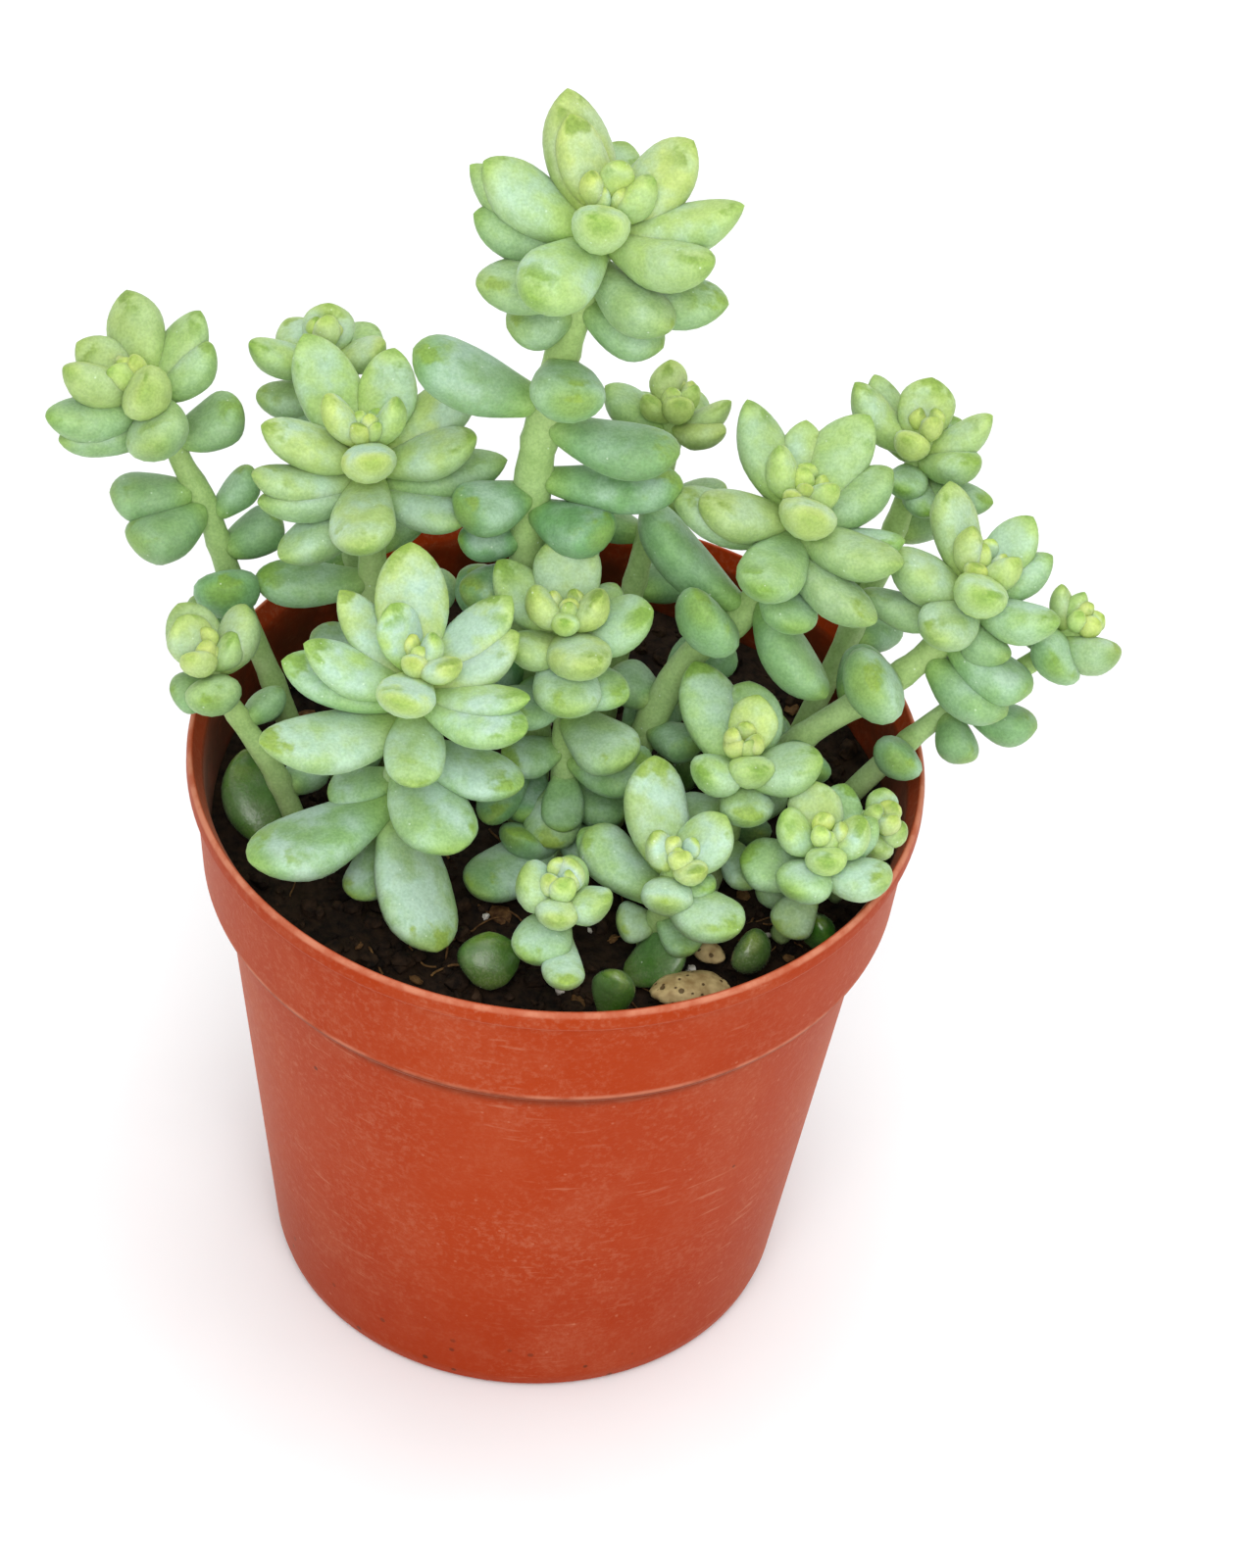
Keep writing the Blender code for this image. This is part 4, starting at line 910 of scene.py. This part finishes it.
        (1, 0.3, -0.8, 3, 1.8), (10, 4, 5, 1, 4.5), (20, 4, 5, 0, 5),
    ]},
    "front_left": {"radius": 1.5, "crown": 9, "stem": [
        (-16, -12, 99.5), (-16.5, -12.5, 92), (-17.5, -13, 84), (-18.5, -14, 76), (-18.5, -14, 65.5),
    ], "leaves": [
        (0.5, -0.8, -3.2, 3, 3), (1, 1.4, 0.5, 4.5, 4), (1, 4, -3.5, 3.5, 4.6), (2, -3.7, 2.9, 7.5, 5.6),
        (2, -1.8, -9.5, 4, 6.4), (3, -2, 12.5, 9.5, 8), (3, 9.8, 7.4, 7, 6.5), (3.5, 11, 3.5, 5.5, 6.5),
        (4, -13, 0.3, 5, 7), (6, -15.3, 1.7, 3, 6.5), (8, -16.8, -8.2, 1.5, 8.5), (4, -9.5, 7.5, 7, 5.5),
        (4, 12.8, -5, 4, 5.5), (4.5, 12.5, -9, 3, 7.5), (6, 0.5, -12, -2, 6.5), (13, 6.5, -13.5, -3, 9),
        (12, 13.5, -5, -1, 7.5), (19, -15.8, -10.5, -3, 10), (20, 6.2, -15.6, -9, 8.6), (17, -8, 0, -3.5, 6),
        (25, -3.1, -7.6, -4, 5.5),
    ]},
    "centre": {"radius": 1.4, "crown": 8, "stem": [
        (0, -3, 100), (0.5, -3.5, 90), (1, -5, 78), (1.5, -6, 65.5),
    ], "leaves": [
        (0.5, -0.2, -4.5, 3, 3), (1, 0, -1.5, 4, 2.2), (1.5, 3.8, -1, 5.5, 5), (1.5, -4.2, -1, 5.3, 5),
        (3, -0.3, 9, 7.5, 7.2), (3.5, -8.5, 6.5, 5, 5.5), (4, 9.5, 0.5, 5, 7.5), (4, -6.3, -5, 2.5, 5.8),
        (3, 3, -9, 3, 6.8), (5.5, 0.5, -11, 0.5, 7.3), (7, 7, -6, 0, 5.5), (5, 5, 8, 3, 5.5),
        (14, 7.5, -8, 0, 7.5), (12, -7, -4, 1, 6), (22, 0.3, -6.7, -4, 4.8), (20, 9.8, -3, 0.8, 7.4),
        (15, -5, 4.5, 1, 5.5), (19, -7, -3, 0, 5.5), (26, 5, 5, 0, 5.5), (24, -1.7, -7.1, -4, 6),
        (26, 7.4, -1, -1, 5.5), (31, -9.8, -12.4, 0.8, 6.5), (32, -6.1, -6.5, 5.5, 5.5),
        (30, 4.2, -5, 0, 5.5),
    ]},
    "inner_right": {"radius": 1.3, "crown": 7, "stem": [
        (21, -10, 88), (20.5, -10.5, 79), (19.5, -11, 72), (18, -11, 65.5),
    ], "leaves": [
        (1, -1.2, -1.2, 3.2, 2.7), (1, 1, -1.3, 3.2, 2.1), (2, 1.5, 4.5, 6, 5.2), (4, -6, 10.5, 7, 7),
        (4, 0.5, 9.5, 5.5, 8), (3, -4.5, -4.5, 2.5, 6), (2, 2.2, -4.8, 2.5, 5.2), (3.5, 9.3, -1.5, 3.5, 7.3),
        (5, 1.8, -6.8, 0, 5.8), (11, 5, 6, 1, 6), (10, -7, 1, -1, 5.5), (14, 4, -6, -1, 5),
        (17, -4.5, 2, 0, 5),
    ]},
    "front_right": {"radius": 1.2, "crown": 6, "stem": [
        (31, -18, 82), (30.5, -18, 76), (29, -17.5, 70), (27, -17, 65.5),
    ], "leaves": [
        (1, 0.2, -1, 3, 2.7), (2.5, -2, 6.3, 5.5, 5.8), (2, -5, 1, 4.6, 5), (2, 4.7, 0.8, 4.5, 5),
        (1.5, 0.6, -5.3, 2.8, 4.4), (4, 7.8, -4.2, 2, 6.3), (3.5, -3.3, -6.3, 1, 6), (4, 6, 4, 4, 4.5),
        (5.5, -9, 0.5, 1, 6.5), (5, 2.5, 11, 3.5, 5.8), (8, -3, -4, -4, 5), (11, -5, 4, 0, 5),
    ]},
    "right_rim": {"radius": 0.9, "crown": 3.5, "stem": [
        (37.5, -11, 78.5), (36, -10.5, 72), (33, -10, 65.5),
    ], "leaves": [
        (1.5, 0.4, 3.7, 3.5, 3.6), (1.5, 3, -1.5, 2, 3.2), (2, 0, -4, 1, 3.8), (1.5, -3, 0, 2, 3.4),
        (0.5, 0, -0.6, 2.5, 1.6),
    ]},
    "front": {"radius": 1.3, "crown": 5, "stem": [
        (14.5, -22, 81), (13.5, -22, 74.5), (12.5, -21, 69), (12, -20, 65.5),
    ], "leaves": [
        (0.5, 0.2, -0.8, 3, 2), (3, -3, 11.5, 8, 7), (1.5, -2.8, 0.8, 4.6, 4), (2.5, 5.5, 4, 6, 6.3),
        (1, 3, -3.5, 2.5, 3.6), (3, -0.5, -6, 1.5, 5.6), (4, 7.8, -7.5, 0.5, 7), (4, 5, -1.5, 1.5, 5),
        (6, -9.5, 6.5, 3.5, 6.8), (7, -10, 9, 2, 6), (9, 4, -5, -1, 4.5), (9, 5, 5, 0, 5.5),
        (11, -4.5, -1.5, 1, 4.6),
    ]},
    "front_edge": {"radius": 1.1, "crown": 5, "stem": [
        (1.5, -27, 80.5), (1.8, -27, 74), (2.5, -26.5, 69), (3, -26, 65.5),
    ], "leaves": [
        (0.5, 0.3, -2.2, 2.8, 3.2), (2.5, -4.7, 0, 3.8, 6), (1.5, 1, 1.2, 4.5, 4.2),
        (2.5, 5.6, -2.2, 2.8, 5.3), (2, -0.2, -6, 2, 4.6), (4, -3.6, -7.3, -1, 6.3), (3, 1, 6, 2, 4.5),
        (6, 1.2, -12, 2, 4.5),
    ]},
}

# Plump leaves that come up on their own between the shoots: foot, tip from there, width
lowLeaves = {
    "low_leaf_front": ((-5.6, -30.2, 66.2), (-0.6, 4.8, 4.6), 6.8),
    "low_leaf_front_right": ((9.5, -26, 65.5), (6.5, 2, 5.5), 6),
    "low_leaf_edge": ((8, -33.2, 65.5), (0.4, 0.8, 7.2), 4.6),
    "low_leaf_right": ((22.6, -22.2, 65.5), (1, -2.2, 6), 5.2),
    "low_leaf_left": ((-30.5, -9, 65.5), (-5.5, 9, 7), 7.8),
    "low_leaf_rim": ((30.6, -18.8, 66), (0.5, -0.7, 4.6), 4.2),
    "low_leaf_back_right": ((16, 8, 65.5), (-3, -3, 7), 5.5),
}

# Things lying on the soil: middle, half sizes, turn about Z in degrees
pebbles = {
    "pebble_large": ((17, -29, 67.4), (4.6, 2.6, 1.8), 8),
    "pebble_small": ((19, -22, 66.6), (1.9, 1.4, 1.1), -20),
}
driedBits = {
    "dried_leaf": ([(7, 19, 68), (10, 15.5, 69.5), (12.5, 12, 68), (13.5, 9.5, 66.5)], 0.8),
    "dried_stalk": ([(8.5, 3.2, 66.6), (11, 1.6, 67.2), (13.5, 1, 66.4)], 0.6),
}


# how pale a shoot's or a low leaf's bloom is, and how plump it is
habits = {
    "front_left": (1.0, 0.82), "front": (0.75, 0.9), "front_edge": (0.85, 0.9), "front_right": (0.7, 0.92),
    "mid_left": (0.65, 1.0), "centre": (0.6, 0.9), "inner_right": (0.6, 0.92), "far_left": (0.35, 1.12),
    "back": (0.3, 0.9), "left_rim": (0.35, 0.95), "tallest": (0.5, 1.16), "right": (0.5, 1.05),
    "low_leaf_front_right": (0.5, 0.62), "usual": (0.5, 1.0),
}
stem = {
    "around": 14, "steps": 8, "topThin": 0.92, "footThick": 1.12, "scar": 0.14, "scarLength": 1.1,
    "overlap": 1, "nearEnd": 0.2,  # mm that a stalk runs up into its rosette, and a ring keeps from an end
}
heart = {
    "buds": 3, "length": (3.0, 3.8), "width": (2.4, 3.0), "turn": 2.1,
    "lean": (0.15, 0.125), "sunk": 0.6, "apart": 0.5,  # the first bud's lean, and what each next one adds
}
ages = {"tip": 0.05, "crown": 0.5, "stem": 0.55, "foot": 0.45, "span": 40, "small": 0.3, "fullWidth": 7}


def addHeart(growth, top, upward, habit, chance):
    # the youngest buds, closed together round the growing tip
    side = upward.orthogonal().normalized()
    start = chance.uniform(0, 6.28)
    for bud in range(heart["buds"]):
        outward = side.copy()
        outward.rotate(Matrix.Rotation(start + bud * heart["turn"], 3, upward))
        reach = (upward + outward * (heart["lean"][0] + heart["lean"][1] * bud)).normalized()
        offset = reach * chance.uniform(*heart["length"]) * mm
        joint = top - upward * heart["sunk"] * mm + outward * heart["apart"] * mm
        width = chance.uniform(*heart["width"]) * mm / leaf["wider"]
        addLeaf(growth, joint, offset, width, upward, 0, habit, chance)


def stemRadii(route, start, plan, total):
    scars = [drop for drop, *_ in plan["leaves"]]
    radii, gone, last = [], start, route[0]
    for place in route:
        gone += (place - last).length / mm
        last = place
        share = gone / total
        bumps = sum(math.exp(-((gone - drop) / stem["scarLength"]) ** 2) for drop in scars)
        swell = stem["topThin"] + (stem["footThick"] - stem["topThin"]) * share
        radii.append(plan["radius"] * mm * swell * (1 + stem["scar"] * min(1, bumps)))
    return radii


def cutRoute(route, start, end):
    kept, gone = [pointAlong(route, start)[0]], 0.0
    for before, after in zip(route, route[1:]):
        gone += (after - before).length
        if start + stem["nearEnd"] * mm < gone < end - stem["nearEnd"] * mm:
            kept.append(after)
    return kept + [pointAlong(route, end)[0]]


def buildShoot(name, plan, seed):
    chance = random.Random(seed)
    route = smoothRoute(inMetres(plan["stem"]), stem["steps"])
    total, crown, habit = routeLength(route) / mm, plan["crown"], habits.get(name, habits["usual"])
    rosette, stalk = newGrowth(), newGrowth()
    core = cutRoute(route, 0, crown * mm)
    lower = cutRoute(route, (crown - stem["overlap"]) * mm, total * mm)
    for growth, part, gone, age in ((rosette, core, 0, 0.2), (stalk, lower, crown, 0.75)):
        radii = stemRadii(part, gone, plan, total)
        addTube(growth, part, radii, stem["around"], (age, 0.5, habit[0]), chance, 1)
    for drop, right, back, up, width in plan["leaves"]:
        joint, upward = pointAlong(route, drop * mm)
        inCrown = drop <= crown
        if inCrown:
            age = ages["tip"] + ages["crown"] * min(1, drop / crown)
        else:
            age = ages["stem"] + ages["foot"] * min(1, (drop - crown) / ages["span"])
        age *= min(1, ages["small"] + width / ages["fullWidth"])
        offset = Vector((right, back, up)) * mm
        addLeaf(rosette if inCrown else stalk, joint, offset, width * mm, upward, age, habit, chance)
    addHeart(rosette, route[0], (route[0] - route[1]).normalized(), habit, chance)
    finishPiece(rosette, f"rosette_{name}_leaves", f"rosette_{name}", ["leafSkin", "stemSkin"])
    finishPiece(stalk, f"stem_{name}_stalk", f"stem_{name}", ["leafSkin", "stemSkin"])


for seed, (name, plan) in enumerate(shoots.items()):
    buildShoot(name, plan, seed + 11)
print("shoots made:", len(shoots))


def buildLowLeaves():
    for seed, (name, (foot, tip, width)) in enumerate(lowLeaves.items()):
        growth = newGrowth()
        habit = habits.get(name, habits["usual"])
        addLeaf(growth, Vector(foot) * mm, Vector(tip) * mm, width * mm, Vector((0, -0.3, 1)), 0.5, habit,
                random.Random(seed + 70))
        finishPiece(growth, f"{name}_body", name, ["lowLeafSkin"])


stone = {"rings": (23, 36), "size": 0.97, "dents": ((0.13, 1.3), (0.05, 4))}


def buildPebbles():
    for seed, (name, (middle, sizes, turn)) in enumerate(pebbles.items()):
        rings, around = stone["rings"]
        verts = ball(rings, around)
        shift = Vector((seed * 7.3, 2.1, 4.4))
        push = stone["size"] + np.array([
            sum(deep * noise.noise(Vector(vert) * fine + shift) for deep, fine in stone["dents"])
            for vert in verts])
        verts = verts * push[:, None] * np.array(sizes)
        verts = verts @ np.array(Matrix.Rotation(math.radians(turn), 3, "Z")).T + np.array(middle)
        growth = newGrowth()
        addShape(growth, verts * mm, loftFaces(rings, around, True), verts, (0, 0.8, 0))
        finishPiece(growth, f"{name}_stone", name, ["riverStone"])


dried = {
    "steps": 9, "around": 16, "flat": 0.5, "thin": 0.3, "swell": 1.1,
    "wrinkles": ((0.16, 1.7), (0.08, 4.1)),
}


def buildDried():
    for seed, (name, (points, radius)) in enumerate(driedBits.items()):
        chance = random.Random(seed + 90)
        route = smoothRoute(inMetres(points), dried["steps"])
        radii = []
        for index in range(len(route)):
            swell = math.sin(math.pi * (0.08 + 0.84 * index / (len(route) - 1)))
            wrinkle = 1 + sum(deep * math.sin(index * fine) for deep, fine in dried["wrinkles"])
            radii.append(radius * mm * (dried["thin"] + dried["swell"] * swell) * wrinkle)
        growth = newGrowth()
        addTube(growth, route, radii, dried["around"], (0, 0.9, 0), chance, 0, dried["flat"])
        finishPiece(growth, f"{name}_husk", name, ["driedSkin"])


buildLowLeaves()
buildPebbles()
buildDried()
print("low leaves, stones and dried bits made")


def buildFloor():
    half = studio["floorSide"] / 2 * mm
    corners = [(-half, -half, 0), (half, -half, 0), (half, half, 0), (-half, half, 0)]
    obj = addObject("floor", makeMesh("floor", {"verts": [corners], "faces": [(0, 1, 2, 3)]}))
    obj.data.materials.append(buildFloorMaterial())
    obj.location.z = -studio["floorDrop"] * mm


setUpCamera()
setUpStudio()
buildFloor()
print("camera, light and floor set")
